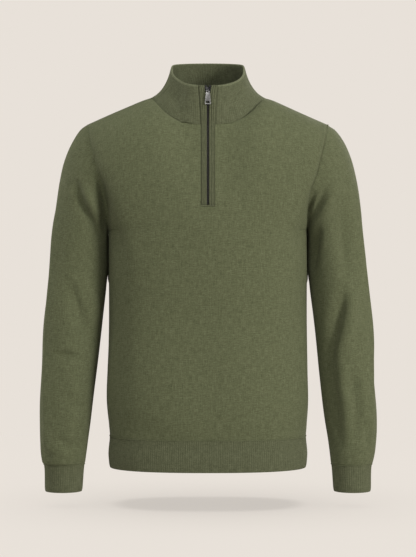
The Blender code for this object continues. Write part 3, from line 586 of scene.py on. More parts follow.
armholeFolds = foldTable(
    (-1, 8, -14, 0, -190, -148, -183, -180, -179, -208, -178, -244),
    (-1, 6.2, -12, 0, 186, -176, 180.5, -196, 178.5, -214, 178, -240),
    (1, 7.5, -9, 0, -190, -158, -184, -190, -180, -232),
    (1, 7, -8.5, 0, 188, -164, 183, -194, 180, -236),
)
bodyCreases = foldTable(
    # front
    (-1, 15, -5, 0.2, -176, -200, -164, -245, -148, -290),
    (-1, 18, 2.2, 0, -150, -205, -140, -250, -128, -300),
    (-1, 15, -4, -0.2, 176, -196, 166, -240, 152, -285),
    (-1, 17, -1.8, 0.2, -154, -320, -150, -440, -146, -570),
    (-1, 4.5, 3, 0, -166, -400, -170.5, -500, -172, -590),
    (-1, 4.5, 2.6, 0, 169, -430, 172.5, -510, 173, -590),
    (-1, 16, -2.4, 0, 158, -330, 150, -430, 152, -520),
    (-1, 14, 1.8, 0.2, -120, -556, -60, -576, 10, -570),
    (-1, 14, 1.8, 0.2, 40, -572, 90, -582, 150, -562),
    (-1, 22, -1.4, 0.2, -105, -360, -50, -392, 20, -398),
    # back
    (1, 17, -5.5, 0.2, -172, -190, -155, -230, -130, -275),
    (1, 16, 2.6, 0, -150, -182, -132, -225, -104, -262),
    (1, 17, -5.5, -0.2, 172, -195, 155, -240, 128, -280),
    (1, 17, -3.6, 0.1, -78, -500, -88, -550, -96, -592),
    (1, 17, -3.8, 0.1, 68, -450, 76, -520, 84, -590),
    (1, 14, 2.2, 0.1, 30, -470, 34, -530, 40, -590),
    (1, 17, -3, 0.2, -140, -350, -60, -392, 30, -386),
    (1, 15, -2.6, 0.2, 130, -325, 70, -350, 10, -344),
    (1, 15, -2.2, 0.2, -110, -425, -30, -448, 60, -436),
)


def neckline(face, x):
    share = np.clip(np.abs(x) / body["neckHalf"], 0, 1)
    deep = np.sqrt(1 - share**2)
    if face < 0:
        return stacked(x, -body["neckFront"] * deep, -body["neckFrontDrop"] * (1 - share**3))
    return stacked(x, body["neckBack"] * deep, body["neckBackRise"] * (1 - share**2))


def neckNormals(points):
    share = np.clip(np.abs(points[..., 0]) / body["neckHalf"], 0, 1)
    level = stacked(points[..., 0], points[..., 1] * np.sqrt(1 - share**2), 0 * share)
    lift = np.radians(mix(*body["neckLift"], share**3))
    return unit(unit(level) * np.cos(lift)[..., None] + stacked(0, 0, np.sin(lift)))


def armhole(turn):
    # the seam of the +X side, from the underarm over the front to the tip and down the back
    middle = (body["underarm"] - body["shoulderDrop"]) / 2
    z = middle - (middle - body["underarm"]) * np.cos(turn)
    out = np.where(np.sin(turn) >= 0, follow(armholeLine, "front", z), follow(armholeLine, "back", z))
    return stacked(out, -body["armholeDepth"] * np.sin(turn), z)


def armholeNormals(turn):
    halfWay, underarm, tip = body["armLean"]
    side = mix(halfWay, np.where(np.cos(turn) > 0, underarm, tip), np.cos(turn) ** 2)
    return unit(stacked(side, -np.sin(turn), -np.cos(turn)))


def pastSeam(points, normals, wrap, away):
    off = unit(np.cross(slopeOf(points, 0, wrap), normals))
    off *= np.sign((off * away).sum(-1, keepdims=True))
    return points + cloth["seamGap"] * off


def columnShares():
    neck = (body["neckHalf"] - slit["half"]) / (body["shoulderHalf"] - slit["half"])
    steps = np.arange(1, body["sideColumns"] + 1) / body["sideColumns"]
    steps = mix(np.sin(steps * math.pi / 2), steps, 0.12)
    return np.concatenate([np.linspace(-1, 0, body["slitColumns"] + 1)[1:-1],
                           np.linspace(0, neck, body["neckColumns"] + 1), neck + (1 - neck) * steps])


def columnX(shares, half):
    return np.where(shares < 0, slit["half"] * (1 + shares), mix(slit["half"], half, shares))


def touchFade(points):
    x, y, z = np.abs(points[..., 0]), np.abs(points[..., 1]), points[..., 2]
    near = bell(x - touch["x"], touch["wide"]) * ease(touch["low"], touch["high"], z)
    near *= 1 - ease(touch["high"] + 0.080, touch["high"] + 0.095, z)
    return 1 - near * (1 - ease(touch["deep"], touch["deep"] * 1.4, y))


def sideBulge(points):
    x, y, z = np.moveaxis(points, -1, 0)
    where = bell(y - touch["bulgeAt"], touch["bulgeWide"]) * ease(touch["low"], touch["high"], z)
    where *= (1 - ease(touch["bulgeFull"], touch["bulgeTop"], z)) * ease(0.15, 0.17, np.abs(x))
    return stacked(x + np.sign(x) * touch["bulge"] * where, y, z)


def settle(part, weight, times):
    # draws each row but the ends towards the mean of its neighbours
    for _ in range(times):
        part[1:-1] += ((part[:-2] + 2 * part[1:-1] + part[2:]) / 4 - part[1:-1]) * weight


def halfPanel(face):
    shares = columnShares()
    rows = []
    for height in np.linspace(body["hemJoin"] + cloth["seamGap"], body["underarm"], body["bodyRows"] + 1):
        half = follow(bodySections, "half", height)
        x = columnX(shares, half)
        oval = np.clip(1 - np.abs(x / half) ** body["square"], 0, 1) ** (1 / body["square"])
        rows.append(stacked(x, face * follow(bodySections, faceNames[face], height) * oval, height))
    low = rows[-1]
    toArmhole = 1 - low[:, 1] / low[0, 1]
    x = columnX(shares, body["shoulderHalf"])
    slope = body["shoulderDrop"] / (body["shoulderHalf"] - body["neckHalf"])
    top = neckline(face, x)
    top[:, 2] -= np.maximum(x - body["neckHalf"], 0) * slope
    start = body["slitColumns"] - 1
    toTop = top[start, 2] - body["underarm"]
    footShare = (slit["foot"] - body["underarm"]) / toTop if face < 0 else body["backLow"]
    power = math.log(math.asin(footShare) * 2 / math.pi) / math.log(body["footRow"] / body["armRows"])
    roundOver = ease(0.3, 1.0, x / body["neckHalf"])
    reach = np.clip(shares, 0, 1) ** body["edgePull"]
    for row in range(1, body["armRows"] + 1):
        turn = row / body["armRows"]
        climb = math.sin(turn**power * math.pi / 2)
        fall = (1 - climb ** mix(*body["climb"], roundOver)) ** (1 / mix(*body["over"], roundOver))
        points = mix(low, top, climb)
        points[:, 1] = top[:, 1] + (low[:, 1] - top[:, 1]) * fall
        edge = armhole(-face * turn * math.pi)
        pull = (edge - points[-1]) * reach[:, None]
        pull[:, 1] = edge[1] * toArmhole
        rows.append(points + pull)
    grid = np.array(rows)
    # evens out the kink that the neck point sends down into the cloth
    turns = np.arange(body["armRows"] + 1) / body["armRows"]
    weight = (1 - turns ** body["settleTop"])[None, :, None] * (0, 1, 1)
    settle(grid[body["bodyRows"] :, start:].swapaxes(0, 1), weight, body["settle"])
    # and the bend across the body where the armholes begin
    span = slice(body["bodyRows"] - body["bendReach"], body["bodyRows"] + body["bendReach"] + 1)
    weight = np.sin(np.linspace(0, math.pi, 2 * body["bendReach"] + 1))[1:-1, None]
    settle(grid[span, :-1, 1], weight, body["bendSettle"])
    return grid


def panelGrids(face):
    half = halfPanel(face)
    half[:, :, 1] = face * np.maximum(face * half[:, :, 1], cloth["seamGap"] / 2)
    outer = np.concatenate([half[:, ::-1] * (-1, 1, 1), half[:, :1] * (0, 1, 1), half], axis=1)
    normals = normalsOf(outer, (0, face, 0))
    fade = edgeFade(outer.shape, 5)
    centre, edge, rows = outer.shape[1] // 2, body["slitColumns"], body["bodyRows"]
    if face < 0:
        across = np.abs(np.arange(outer.shape[1]) - centre)
        fade[rows + body["footRow"] - 6 :] *= ease(edge, edge + 8, across)
    outer = hung(outer, normals, bodyCreases, fade, 11 + face, body)
    if face > 0:
        outer = sideBulge(outer)
    normals = normalsOf(outer, (0, face, 0))
    arm = armholeNormals(-face * np.arange(body["armRows"] + 1) / body["armRows"] * math.pi)
    normals[rows:, -1] = arm
    normals[rows:, 0] = arm * (-1, 1, 1)
    normals[0, :, 2] = 0
    normals[:rows, [0, -1], 1] = 0
    shoulder = np.abs(outer[-1, :, 0]) > body["neckHalf"] + cloth["seamGap"]
    normals[-1, shoulder, 1] = 0
    toBack = body["neckBack"] / body["neckFront"] if face < 0 else 1
    normals[-1, ~shoulder] = neckNormals(outer[-1, ~shoulder] * (1, toBack, 1))
    normals[:, centre - edge : centre + edge + 1, 0] = 0
    return outer, unit(normals)


def clothPlaces(grid, middle, wrap=False):
    # metres from the middle column and from the first row; a sleeve is knitted from its cuff up
    across, up = runAlong(grid, 1), runAlong(grid, 0)
    return np.stack([across - across[:, middle : middle + 1], up - up[-1:] if wrap else up], axis=-1)


sizes, pieces, grids = {}, {}, {}
for face in (-1, 1):
    name = faceNames[face] + "Jersey"
    outer, normals = panelGrids(face)
    grids[face] = outer
    keep = np.ones((outer.shape[0] - 1, outer.shape[1] - 1), bool)
    centre, edge = outer.shape[1] // 2, body["slitColumns"]
    if face < 0:
        keep[body["bodyRows"] + body["footRow"] :, centre - edge : centre + edge] = False
    pieces[name] = clothShell(name, outer, normals, clothPlaces(outer, centre), keep)
    sizes[name] = clothSize(outer)
print("front and back made")

# sleeves and cuffs; each ring has its outer and inner ends seen from the front, half depth and middle

sleeveRings = columns(
    "place outerX outerZ innerX innerZ depth middle",
    (0, 215.5, -49.5, 178.5, -240, 72, 0),
    (0.8, 230, -60, 179.2, -247.5, 71.5, 1),
    (1.6, 244, -80.5, 179.2, -256, 70, 2),
    (2.6, 257.2, -111, 179, -269, 67.5, 3),
    (3.8, 267.2, -152, 178.9, -286, 65, 4),
    (5.2, 275.2, -206, 179.3, -308, 63, 4),
    (7, 283.8, -283, 183.2, -340, 61, 2),
    (9, 290.5, -365, 188.2, -380, 59.5, -2),
    (11, 295.8, -440, 194.2, -440, 57.5, -6),
    (13, 299.3, -505, 201, -505, 55, -12),
    (15, 301.4, -570, 208.4, -570, 51.5, -20),
    (16.6, 300.4, -612, 213.8, -612, 47.5, -26),
    (17.6, 297.5, -638, 216.8, -638, 43, -30),
    (18.4, 293, -654.5, 219.1, -654.5, 37.5, -32),
    (18.5, 292.4, -655.5, 219.4, -655.5, 37, -32),
    (20, 289.7, -703.5, 223.2, -703.5, 33.5, -36),
)
sleeveRings["place"] *= 1000    # a plain count down the sleeve
sleeve = {"cuffJoin": 18.5, "cuffEnd": 20.0, "rings": 186, "columns": 120, "crowding": 1.1, "seamReach": 4,
          "wander": 0.0012, "wanderSize": 0.13}
# how far the ends of each rib sink: the first two rows, then the last two
cuff = {"rows": 16, "endSink": (0.0, 0.0, 0.0002, 0.0009)}
hem = {"rows": 18, "endSink": (0.0009, 0.0002, 0.0, 0.0002)}
link = {"step": 0.0006, "radius": 0.00055, "loop": 0.28, "perLoop": 4, "proud": 0.0002, "flat": 0.8}
sleeveCreases = foldTable(
    # the wearer's right sleeve, in front
    (-1, 6, -6, 0, -192.5, -160, -187, -186, -184, -214, -183.5, -248),
    (-1, 7.2, -9.8, 0.35, -231, -158, -220, -194, -208, -218, -190, -250),
    (-1, 8.5, 7.5, 0, -216, -168, -206, -192, -196.5, -216),
    (-1, 13, 4.2, 0, -260, -165, -270, -222, -276.5, -300, -281, -380, -288, -480, -288, -600, -284, -645),
    (-1, 3.8, 2.6, 0, -261, -168, -272, -230, -277.5, -300, -281.5, -380, -288.5, -480, -288, -600,
     -285, -640),
    (-1, 3.4, -2.6, 0, -268, -180, -277.5, -232, -283, -302, -287, -382, -293, -482, -292.5, -596,
     -289, -636),
    (-1, 12, -9, 0.3, -243, -335, -224, -385, -206, -440),
    (-1, 7, 3.4, 0, -208, -345, -200, -372, -196, -402),
    (-1, 7.2, -6.6, 0.35, -268, -461, -248, -459, -226, -464),
    (-1, 15, 5.2, 0, -233, -470, -236, -545, -242, -625),
    (-1, 11, -4.4, 0.2, -250, -530, -232, -548, -214, -556),
    (-1, 8.5, -4, 0.2, -262, -606, -244, -618, -226, -612),
    (-1, 6, -3.4, 0, -290, -622, -283, -636, -272, -640),
    # the wearer's left sleeve, in front
    (-1, 5.6, -8.5, -0.3, 206, -172, 196, -192, 186.5, -212, 180, -232),
    (-1, 10.5, 6.2, 0, 226, -156, 214, -190, 204, -224),
    (-1, 14, -9.2, 0, 234, -200, 242, -255, 248, -330),
    (-1, 12.5, -7.2, 0, 256, -480, 261, -545, 261, -615),
    (-1, 8, -10.5, 0, 197, -235, 190.5, -260, 186, -288, 184, -315),
    (-1, 13, 4.2, 0, 263, -165, 268, -222, 275, -280, 283, -360, 290.5, -470, 288, -590, 283, -640),
    (-1, 3.8, 2.6, 0, 264, -166, 269, -225, 276.5, -290, 284, -366, 291.5, -478, 289, -590, 285, -636),
    (-1, 3.4, -2.6, 0, 274, -222, 282, -292, 289.5, -368, 296.5, -480, 293.5, -590, 290, -630),
    (-1, 10.5, -12, 0.35, 241, -350, 235, -385, 223, -430, 213, -478),
    (-1, 12, 5.5, 0, 258, -350, 252, -400, 240, -450),
    (-1, 11, -8.5, 0, 214, -445, 220, -530, 230, -615),
    (-1, 11, -4, 0.2, 268, -500, 252, -520, 240, -530),
    (-1, 7, -3.4, 0, 276, -575, 280, -605, 276, -640),
    # both sleeves, behind
    (1, 11, -7, 0.2, -247, -146, -224, -195, -198, -242),
    (1, 10, 4, 0, -228, -150, -208, -188, -192, -222),
    (1, 11, -7.2, -0.2, 247, -150, 222, -196, 196, -238),
    (1, 11, -5.8, 0.2, -272, -396, -240, -418, -204, -426),
    (1, 11, -5.8, 0.2, 274, -390, 240, -420, 207, -432),
    (1, 9, -4.2, 0.2, -262, -455, -238, -468, -214, -462),
    (1, 9, -3.8, 0.2, 262, -462, 240, -476, 218, -470),
    (1, 13, -4.2, 0, -216, -480, -226, -560, -238, -620),
    (1, 13, -4.4, 0, 216, -500, 224, -570, 236, -624),
)


def sleevePoints(place, turn):
    read = {name: follow(sleeveRings, name, place) for name in sleeveRings}
    share = (1 - np.cos(turn)) / 2
    y = read["middle"] - read["depth"] * np.sin(turn)
    x, z = (mix(read["inner" + way], read["outer" + way], share) for way in "XZ")
    points = stacked(x, y, z)
    straight = mix(sleeveRings["innerX"][0], sleeveRings["outerX"][0], share)
    fade = np.clip(1 - place / sleeve["seamReach"], 0, 1) ** 2
    points[..., 0] += (armhole(turn)[..., 0] - straight) * fade
    return points


def buildSleeve(side, name):
    turns = np.arange(sleeve["columns"]) / sleeve["columns"] * 2 * math.pi
    places = sleeve["cuffJoin"] * (np.arange(sleeve["rings"] + 1) / sleeve["rings"]) ** sleeve["crowding"]
    grid = sleevePoints(places[:, None], turns[None, :])
    seam = armholeNormals(turns)
    grid[0] = pastSeam(armhole(turns), seam, True, (1, 0, 0))
    outward = unit(grid - grid.mean(axis=1, keepdims=True)) * (side, 1, 1)
    outer = grid * (side, 1, 1)
    normals = normalsOf(outer, outward, wrap=True)
    outer = hung(outer, normals, sleeveCreases, edgeFade(outer.shape, 3, wrap=True), 21 + side, sleeve)
    normals = normalsOf(outer, outward, wrap=True)
    normals[0] = seam * (side, 1, 1)
    normals[-1, :, 2] = 0
    normals = unit(normals)
    sizes[name] = clothSize(outer, wrap=True)
    places = clothPlaces(outer, sleeve["columns"] // 2, wrap=True)
    return clothShell(name, outer, normals, places, wrap=True), outer[0], normals[0]


def ribRaise(phase):
    return ribs["height"] * ((0.5 + 0.5 * np.cos(2 * math.pi * phase)) ** ribs["crest"] - 1)


def ribPlaces(phase, up):
    return np.stack(np.broadcast_arrays(phase[None, :] * ribs["pitch"] + ribs["pitch"] / 4, up), axis=-1)


def ribWall(name, face, outward, ribCount, endSink, wrap):
    # a ribbed wall from a plain grid: its face ribbed outside and inside, its free edge rounded
    sizes[name] = clothSize(face, wrap)
    normals = normalsOf(face, outward, wrap)
    normals[:, :, 2] = 0
    if not wrap:
        normals[:, [0, -1], 1] = 0
    normals = unit(normals)
    across = face.shape[1]
    phase = np.arange(across) * ribCount / (across if wrap else across - 1)
    sink = np.zeros(len(face))
    sink[[0, 1, -2, -1]] = endSink
    rise, under = ribRaise(phase) - sink[:, None], ribRaise(phase + 0.5) - sink[:, None] * 0.9
    outer, inner = face + normals * rise[..., None], face - normals * (cloth["rib"] + under)[..., None]
    places = ribPlaces(phase, runAlong(face, 0))
    grid, places = np.concatenate([outer, inner[::-1]]), np.concatenate([places, places[::-1]])
    return loopShell(name, grid, places, wrap), normals


def ribsOver(length):
    return round(length / ribs["pitch"] / ribs["inStep"]) * ribs["inStep"]


def buildCuff(side, name):
    fine = np.linspace(0, 2 * math.pi, 1441)
    way = lineRun(sleevePoints(sleeve["cuffEnd"], fine))
    ribCount = ribsOver(way[-1])
    count = ribCount * ribs["columns"]
    turns = np.interp(np.arange(count) / count * way[-1], way, fine)
    places = np.linspace(sleeve["cuffJoin"], sleeve["cuffEnd"], cuff["rows"])
    grid = sleevePoints(places[:, None], turns[None, :])
    grid[0, :, 2] -= cloth["seamGap"]
    outer = grid * (side, 1, 1)
    outward = unit(outer - outer.mean(axis=1, keepdims=True))
    ob, normals = ribWall(name, outer, outward, ribCount, cuff["endSink"], True)
    return ob, outer[0], normals[0]


def buildHem(face, name):
    heights = np.linspace(body["hemBottom"], body["hemJoin"], hem["rows"])
    turn = np.linspace(-math.pi / 2, math.pi / 2, 1441)
    bend = 2 / body["square"]
    unitX = np.sign(turn) * np.abs(np.sin(turn)) ** bend
    unitY = face * np.abs(np.cos(turn)) ** bend
    half, depth = (follow(bodySections, name, heights) for name in ("half", faceNames[face]))
    fine = np.stack([stacked(h * unitX, d * unitY, z) for h, d, z in zip(half, depth, heights)])
    way = lineRun(fine[0])
    ribCount = ribsOver(way[-1])
    at = np.interp(np.linspace(0, way[-1], ribCount * ribs["columns"] + 1), way, np.arange(len(way)))
    low = np.clip(at.astype(int), 0, len(way) - 2)
    outer = mix(fine[:, low], fine[:, low + 1], (at - low)[None, :, None])
    outer[:, [0, -1], 1] = face * cloth["seamGap"] / 2
    ob, normals = ribWall(name, outer, (0, face, 0), ribCount, hem["endSink"], False)
    return ob, outer[-1, 2:-2], normals[-1, 2:-2]


def linkLine(path, normals, closed):
    # the linked row that joins a rib to the jersey: a fine chain of loops, in paler yarn that paints a
    # highlight along the join
    count = int(np.linalg.norm(np.diff(path, axis=0), axis=-1).sum() / link["step"])
    at = np.linspace(0, len(path) - 1, count)
    line, out = (readAt(at, np.arange(len(path)), part) for part in (path, normals))
    out = unit(out)
    beside = unit(np.cross(np.gradient(line, axis=0), out))
    thick = link["radius"] * (1 + link["loop"] * np.cos(np.arange(count) * 2 * math.pi / link["perLoop"]))
    angles = np.arange(6)[:, None] * math.pi / 3
    line += out * link["proud"]
    sections = [point + (np.cos(angles) * way * link["flat"] + np.sin(angles) * across) * radius
                for point, way, across, radius in zip(line, out, beside, thick)]
    places = np.concatenate([np.full((6, 2), (k * link["step"], 0.0)) for k in range(count)])
    return swept("chain", sections, linkYarnHighlight, 80, places, closed)


def joinLinked(name, build, side, closed):
    ob, path, normals = build(side, name)
    pieces[name] = joined(name, ob, linkLine(path, normals, closed))


for side, name in ((1, "Left"), (-1, "Right")):
    joinLinked("sleeve" + name, buildSleeve, side, True)
    joinLinked("cuff" + name, buildCuff, side, True)
print("sleeves and cuffs made")
for face, name in ((-1, "Front"), (1, "Back")):
    joinLinked("hem" + name, buildHem, face, False)
print("hem made")

# collar

collar = {
    "half": 0.0662, "front": 0.0765, "back": 0.060,
    "sideTop": 0.0530, "frontTop": 0.0135, "backTop": 0.0688,
    "round": 0.8, "frontDip": 0.7, "backRise": 0.4,    # exponents of the top edge's shape
    "endFlare": 0.0045, "sideBend": 0.62, "rows": 26, "crestRows": 7, "crestFrom": 0.945,
    "rimFrom": 0.88, "rimRoll": 0.0009, "seamSink": (0.0004, 0.0001),
    "grooveRight": 0.0024, "grooveLeft": 0.0017, "grooveWide": 0.0020,    # beside the zip bands
}
collarCreases = foldTable(
    (-1, 16, -8.5, 0, -61, 34, -57, 6, -50, -24),
    (-1, 12, -2.2, 0, 52, 24, 47, 0, 41, -24),
    (1, 12, -1.6, 0, -30, 52, -34, 24, -40, 0),
    (1, 13, -2, 0, 34, 50, 36, 26, 44, 4),
)


def collarTop(turn):
    ahead = np.cos(turn)
    shape = np.abs(ahead) ** collar["round"]
    y = np.where(ahead > 0, -collar["front"] * shape, collar["back"] * shape)
    low = mix(collar["sideTop"], collar["frontTop"], np.abs(ahead) ** collar["frontDip"])
    high = mix(collar["sideTop"], collar["backTop"], np.abs(ahead) ** collar["backRise"])
    return stacked(collar["half"] * np.sin(turn), y, np.where(ahead > 0, low, high))


def neckLoop(turn):
    within = body["neckHalf"] + cloth["seamGap"]
    front, back = (top[np.abs(top[:, 0]) <= within] for top in (grids[-1][-1], grids[1][-1]))
    middle = len(front) // 2
    ring = np.concatenate([front[middle + 1 :], back[::-1][1:-1], front[:middle]])
    angle = np.arcsin(np.clip(np.abs(ring[:, 0]) / body["neckHalf"], 0, 1))
    angle = np.where(ring[:, 1] > 0, math.pi - angle, angle)
    angle = np.where(ring[:, 0] < 0, 2 * math.pi - angle, angle)
    angle[(np.abs(ring[:, 0]) < cloth["seamGap"]) & (ring[:, 1] > 0)] = math.pi
    return readAt(turn, angle, ring)


def collarEnd(rise):
    return slit["half"] + collar["endFlare"] * rise**1.5


def collarGrid(count, rises):
    rows = []
    for rise in rises:
        first = math.asin(collarEnd(rise) / mix(body["neckHalf"], collar["half"], rise))
        turn = np.linspace(first, 2 * math.pi - first, count)
        low, high = neckLoop(turn), collarTop(turn)
        bend = collar["sideBend"] * np.sin(turn) ** 2
        points = mix(low, high, mix(rise, math.sin(rise * math.pi / 2), bend)[:, None])
        points[:, 2] = mix(low[:, 2], high[:, 2], mix(rise, 1 - math.cos(rise * math.pi / 2), bend))
        rows.append(points)
    return squaredEnds(np.array(rows), rises)


def squaredEnds(points, rises):
    points[..., 0, 0], points[..., -1, 0] = collarEnd(rises), -collarEnd(rises)
    return points


def buildCollar():
    fine = np.linspace(0, 2 * math.pi, 721)
    ribCount = ribsOver(lineRun((neckLoop(fine) + collarTop(fine)) / 2)[-1])
    count = ribCount * ribs["columns"] + 1
    rises = np.linspace(0, collar["crestFrom"], collar["rows"])
    outer = collarGrid(count, rises)
    outward = unit(outer * (1, 1, 0))
    fade = ease(0, 5, np.arange(collar["rows"]))[:, None]
    outer = creased(outer, normalsOf(outer, outward), collarCreases, fade)
    normals = normalsOf(outer, outward)
    seam = neckNormals(outer[0])
    normals[0] = seam
    normals[:, [0, -1], 0] = 0
    normals = unit(normals)
    outer[0] = pastSeam(outer[0], seam, False, (0, 0, 1))
    outer = squaredEnds(outer, rises)
    phase = np.arange(count) * ribCount / (count - 1)
    share = np.interp(rises, (0, 0.06, 0.9, 1), (0.5, 1, 1, 0.8))
    raised = normals * (ribRaise(phase)[None, :] * share[:, None])[..., None]
    away = np.abs(outer[..., 0]) - collarEnd(rises)[:, None]
    groove = np.where(outer[..., 0] < 0, collar["grooveRight"], collar["grooveLeft"])
    sink = np.where(outer[..., 1] < 0, groove * bell(away, collar["grooveWide"]), 0)
    turnIn = ease(collar["rimFrom"], 1.05, rises) * collar["rimRoll"]
    sink += turnIn[:, None]
    sink[:2] += np.array(collar["seamSink"])[:, None]
    shown = outer + raised - normals * sink[..., None]
    lined = outer - cloth["band"] * normals - raised
    # the fold's round crest, from the outer face's last row over to the inner one's
    up = unit(outer[-1] - outer[-2])
    half = (cloth["band"] - turnIn[-1]) / 2
    middle = outer[-1] - normals[-1] * (cloth["band"] - half)
    ridge = 1 + ribRaise(phase)[:, None] * 0.8 / half
    crest = [middle + (normals[-1] * math.cos(a) * half + up * math.sin(a) * cloth["band"]) * ridge
             for a in np.linspace(0, math.pi, collar["crestRows"] + 2)[1:-1]]
    grid = np.concatenate([shown, squaredEnds(np.array(crest), 1.0), lined[::-1]])
    sizes["collarBand"] = clothSize(outer)
    ob = loopShell("collarBand", grid, ribPlaces(phase, lineRun(grid[:, count // 2])[:, None]))
    # the crest rows take the paler knit: a painted highlight along the fold
    ob.data.materials.append(highlightKnit)
    first = (collar["rows"] - 1) * (count - 1)
    for polygon in ob.data.polygons[first : first + (collar["crestRows"] - 1) * (count - 1)]:
        polygon.material_index = 1
    return ob, outer


pieces["collarBand"], collarFace = buildCollar()
print("collar made")

# zip

# distances across the zip are from its middle, those off it from the bands' line, outwards
zipSizes = {
    "bandInner": 0.0021, "bandParted": 0.0062, "partsOver": 0.020, "bandDeep": 0.0016,
    "crest": 0.0011, "groove": -0.0003, "seam": -0.0015, "edgeSink": 0.0013, "wales": 3, "perWale": 6,
    "topSink": 0.0012, "topSinkOver": 0.0025, "walePitch": 0.0034,
    "footHeight": 0.0026, "footThick": 0.0012, "footOff": 0.0004, "footSections": 88, "footLoops": 0.22,
    "chainFront": 0.0004, "tapeFront": 0.0022, "tapeBack": 0.0030, "tapeParted": 0.0015,
    "insideSlit": 0.0018, "toothPitch": 0.0014, "toothLong": 0.0021, "toothDeep": 0.0008,
    "toothHigh": 0.00052, "toothPast": 0.0003,
}
slider = {
    "width": 0.0095, "length": 0.0090, "height": 0.0047, "front": -0.0030, "throat": -0.0014,
    "rear": 0.0036, "back": 0.0046, "post": 0.0010, "chainCloses": 0.0030, "bevel": 0.00028,
    # place along its length and share of its width
    "waists": ((-0.5, 0.80), (-0.42, 0.88), (-0.25, 0.93), (0.0, 0.98),
               (0.2, 1.0), (0.42, 0.95), (0.5, 0.84)),
    "bailInner": 0.0011, "bailOuter": 0.0021, "bailHalf": 0.0009, "bailRoot": 0.0004,
    "pivotHeight": 0.0042, "pivotDrop": 0.0022, "lean": math.radians(-10.271),
}
tab = {
    "barHalf": 0.0006, "barWidth": 0.0046, "neck": 0.0040, "shoulder": 0.0052, "length": 0.0252,
    "topWidth": 0.0075, "neckShare": 0.41, "footWidth": 0.0108, "thick": 0.0012, "bevel": 0.00022,
    "corner": 0.0012, "eyeCorner": 0.0004, "slotCorner": 0.0007,
    "eyeWidth": 0.0026, "eyeLength": 0.0024, "slotLength": 0.0039, "slotWidth": 0.0066, "slotAbove": 0.0040,
}
tabPlace = Matrix.Translation(frame["joints"][0]["pos_m"]) @ Matrix.Rotation(slider["lean"], 4, "X")
sliderPlace = tabPlace @ Matrix.Translation((0, slider["pivotHeight"], slider["pivotDrop"]))
sliderFoot, sliderTop = (slider["height"] + slider["length"] * share for share in (-0.5, 0.5))


def zipLine():
    front = grids[-1]
    column = front.shape[1] // 2 + body["slitColumns"]
    line = np.concatenate([front[body["bodyRows"] + body["footRow"] :, column], collarFace[1:, 0]])
    line[0] += unit(line[1] - line[0]) * cloth["seamGap"]
    line = np.concatenate([line, line[-1:] + unit(line[-1:] - line[-2:-1]) * cloth["band"] * 0.85])
    ends = (sliderFoot - slider["chainCloses"], sliderFoot - cloth["seamGap"])
    heights = np.sort(np.append(line[:, 2], ends))
    along = np.gradient(line[:, 1:], axis=0)
    normals = readAt(heights, line[:, 2], stacked(0, -along[:, 1], along[:, 0]))
    return readAt(heights, line[:, 2], line), unit(normals)


zipPath, zipNormals = zipLine()
zipRun = lineRun(zipPath * (0, 1, 1))


def zipBand(side, name):
    z = zipSizes
    count = z["wales"] * z["perWale"] + 1
    phase = np.arange(count) / z["perWale"]
    rises = z["groove"] + (z["crest"] - z["groove"]) * np.abs(np.sin(math.pi * phase)) ** 0.6
    rises -= z["edgeSink"] * bell(phase, 0.5)
    rises[0] = z["seam"]
    top = zipPath[-1, 2]
    sections, places = [], []
    for point, normal, run in zip(zipPath, zipNormals, zipRun):
        innerEdge = mix(z["bandInner"], z["bandParted"], ease(top - z["partsOver"], top, point[2]))
        x = np.linspace(point[0] - cloth["seamGap"], innerEdge, count)
        lift = (rises - z["topSink"] * ease(top - z["topSinkOver"], top, point[2]))[:, None]
        face = stacked(x, 0, 0) + point * (0, 1, 1) + normal * lift
        back = face[[-1, 0]] * (1, 0, 0) + point * (0, 1, 1) - normal * z["bandDeep"]
        sections.append(np.concatenate([face, back]) * (side, 1, 1))
        across = np.concatenate([phase, phase[[-1, 0]]]) * z["walePitch"]
        places.append(np.stack([across, np.full(count + 2, run)], axis=-1))
    return swept(name, sections, ribKnit, 60, np.concatenate(places))


def placketFoot():
    z = zipSizes
    normal = zipNormals[0]
    down = unit((zipPath[0] - zipPath[1]) * (0, 1, 1))
    half = slit["half"] + z["footOff"]
    angles = np.linspace(0, math.pi, 7)
    sections, places = [], []
    for k, x in enumerate(np.linspace(-half, half, z["footSections"])):
        swell = 1 - z["footLoops"] * abs(math.sin(k * math.pi / 4))
        root = (x, *(zipPath[0, 1:] + down[1:] * z["footOff"]))
        drop = z["footHeight"] / 2 * (1 - np.cos(angles))
        lift = z["footThick"] * swell * np.sin(angles) ** 0.6
        sections.append(root + down * drop[:, None] + normal * (z["footOff"] + lift)[:, None])
        places.append(np.stack([np.full(7, x), angles * 0.0008], axis=-1))
    return swept("placketFoot", sections, ribKnit, 70, np.concatenate(places))


def coilTurns(side):
    # each turn is a small rounded bar from the tape's edge over the middle
    z = zipSizes
    pitch = z["toothPitch"]
    ends = (zipPath[0, 2] + 0.001, sliderFoot + 0.001, sliderTop + 0.0005, zipPath[-1, 2] - 0.0015)
    r0, r1, r2, r3 = np.interp(ends, zipPath[:, 2], zipRun)
    turns = [(run, 0.0) for run in np.arange(r0 + (pitch / 2 if side > 0 else 0), r1, pitch)]
    turns += [(run, z["tapeParted"] + z["toothPast"]) for run in np.arange(r2, r3, pitch)]
    stations = ((0.0, 0.35), (0.12, 0.85), (0.35, 1.0), (0.75, 1.0), (1.0, 0.6))
    angles = np.arange(8)[:, None] * math.pi / 4
    deep, high = np.cos(angles) * z["toothDeep"], np.sin(angles) * z["toothHigh"]
    vertices, faces = [], []
    for run, shift in turns:
        out = readAt(run, zipRun, zipNormals)
        up = np.array((0, -out[2], out[1]))
        centre = readAt(run, zipRun, zipPath) * (0, 1, 1) - out * (z["chainFront"] + z["toothDeep"])
        faces += sweptFaces(8, len(stations), first=len(vertices))
        for share, swell in stations:
            ring = centre + (out * deep + up * high) * swell
            ring[:, 0] += shift - z["toothPast"] + z["toothLong"] * share
            vertices += list(ring * (side, 1, 1))
    return addPiece("teeth", vertices, faces, coilNylon, smoothUnder=60)


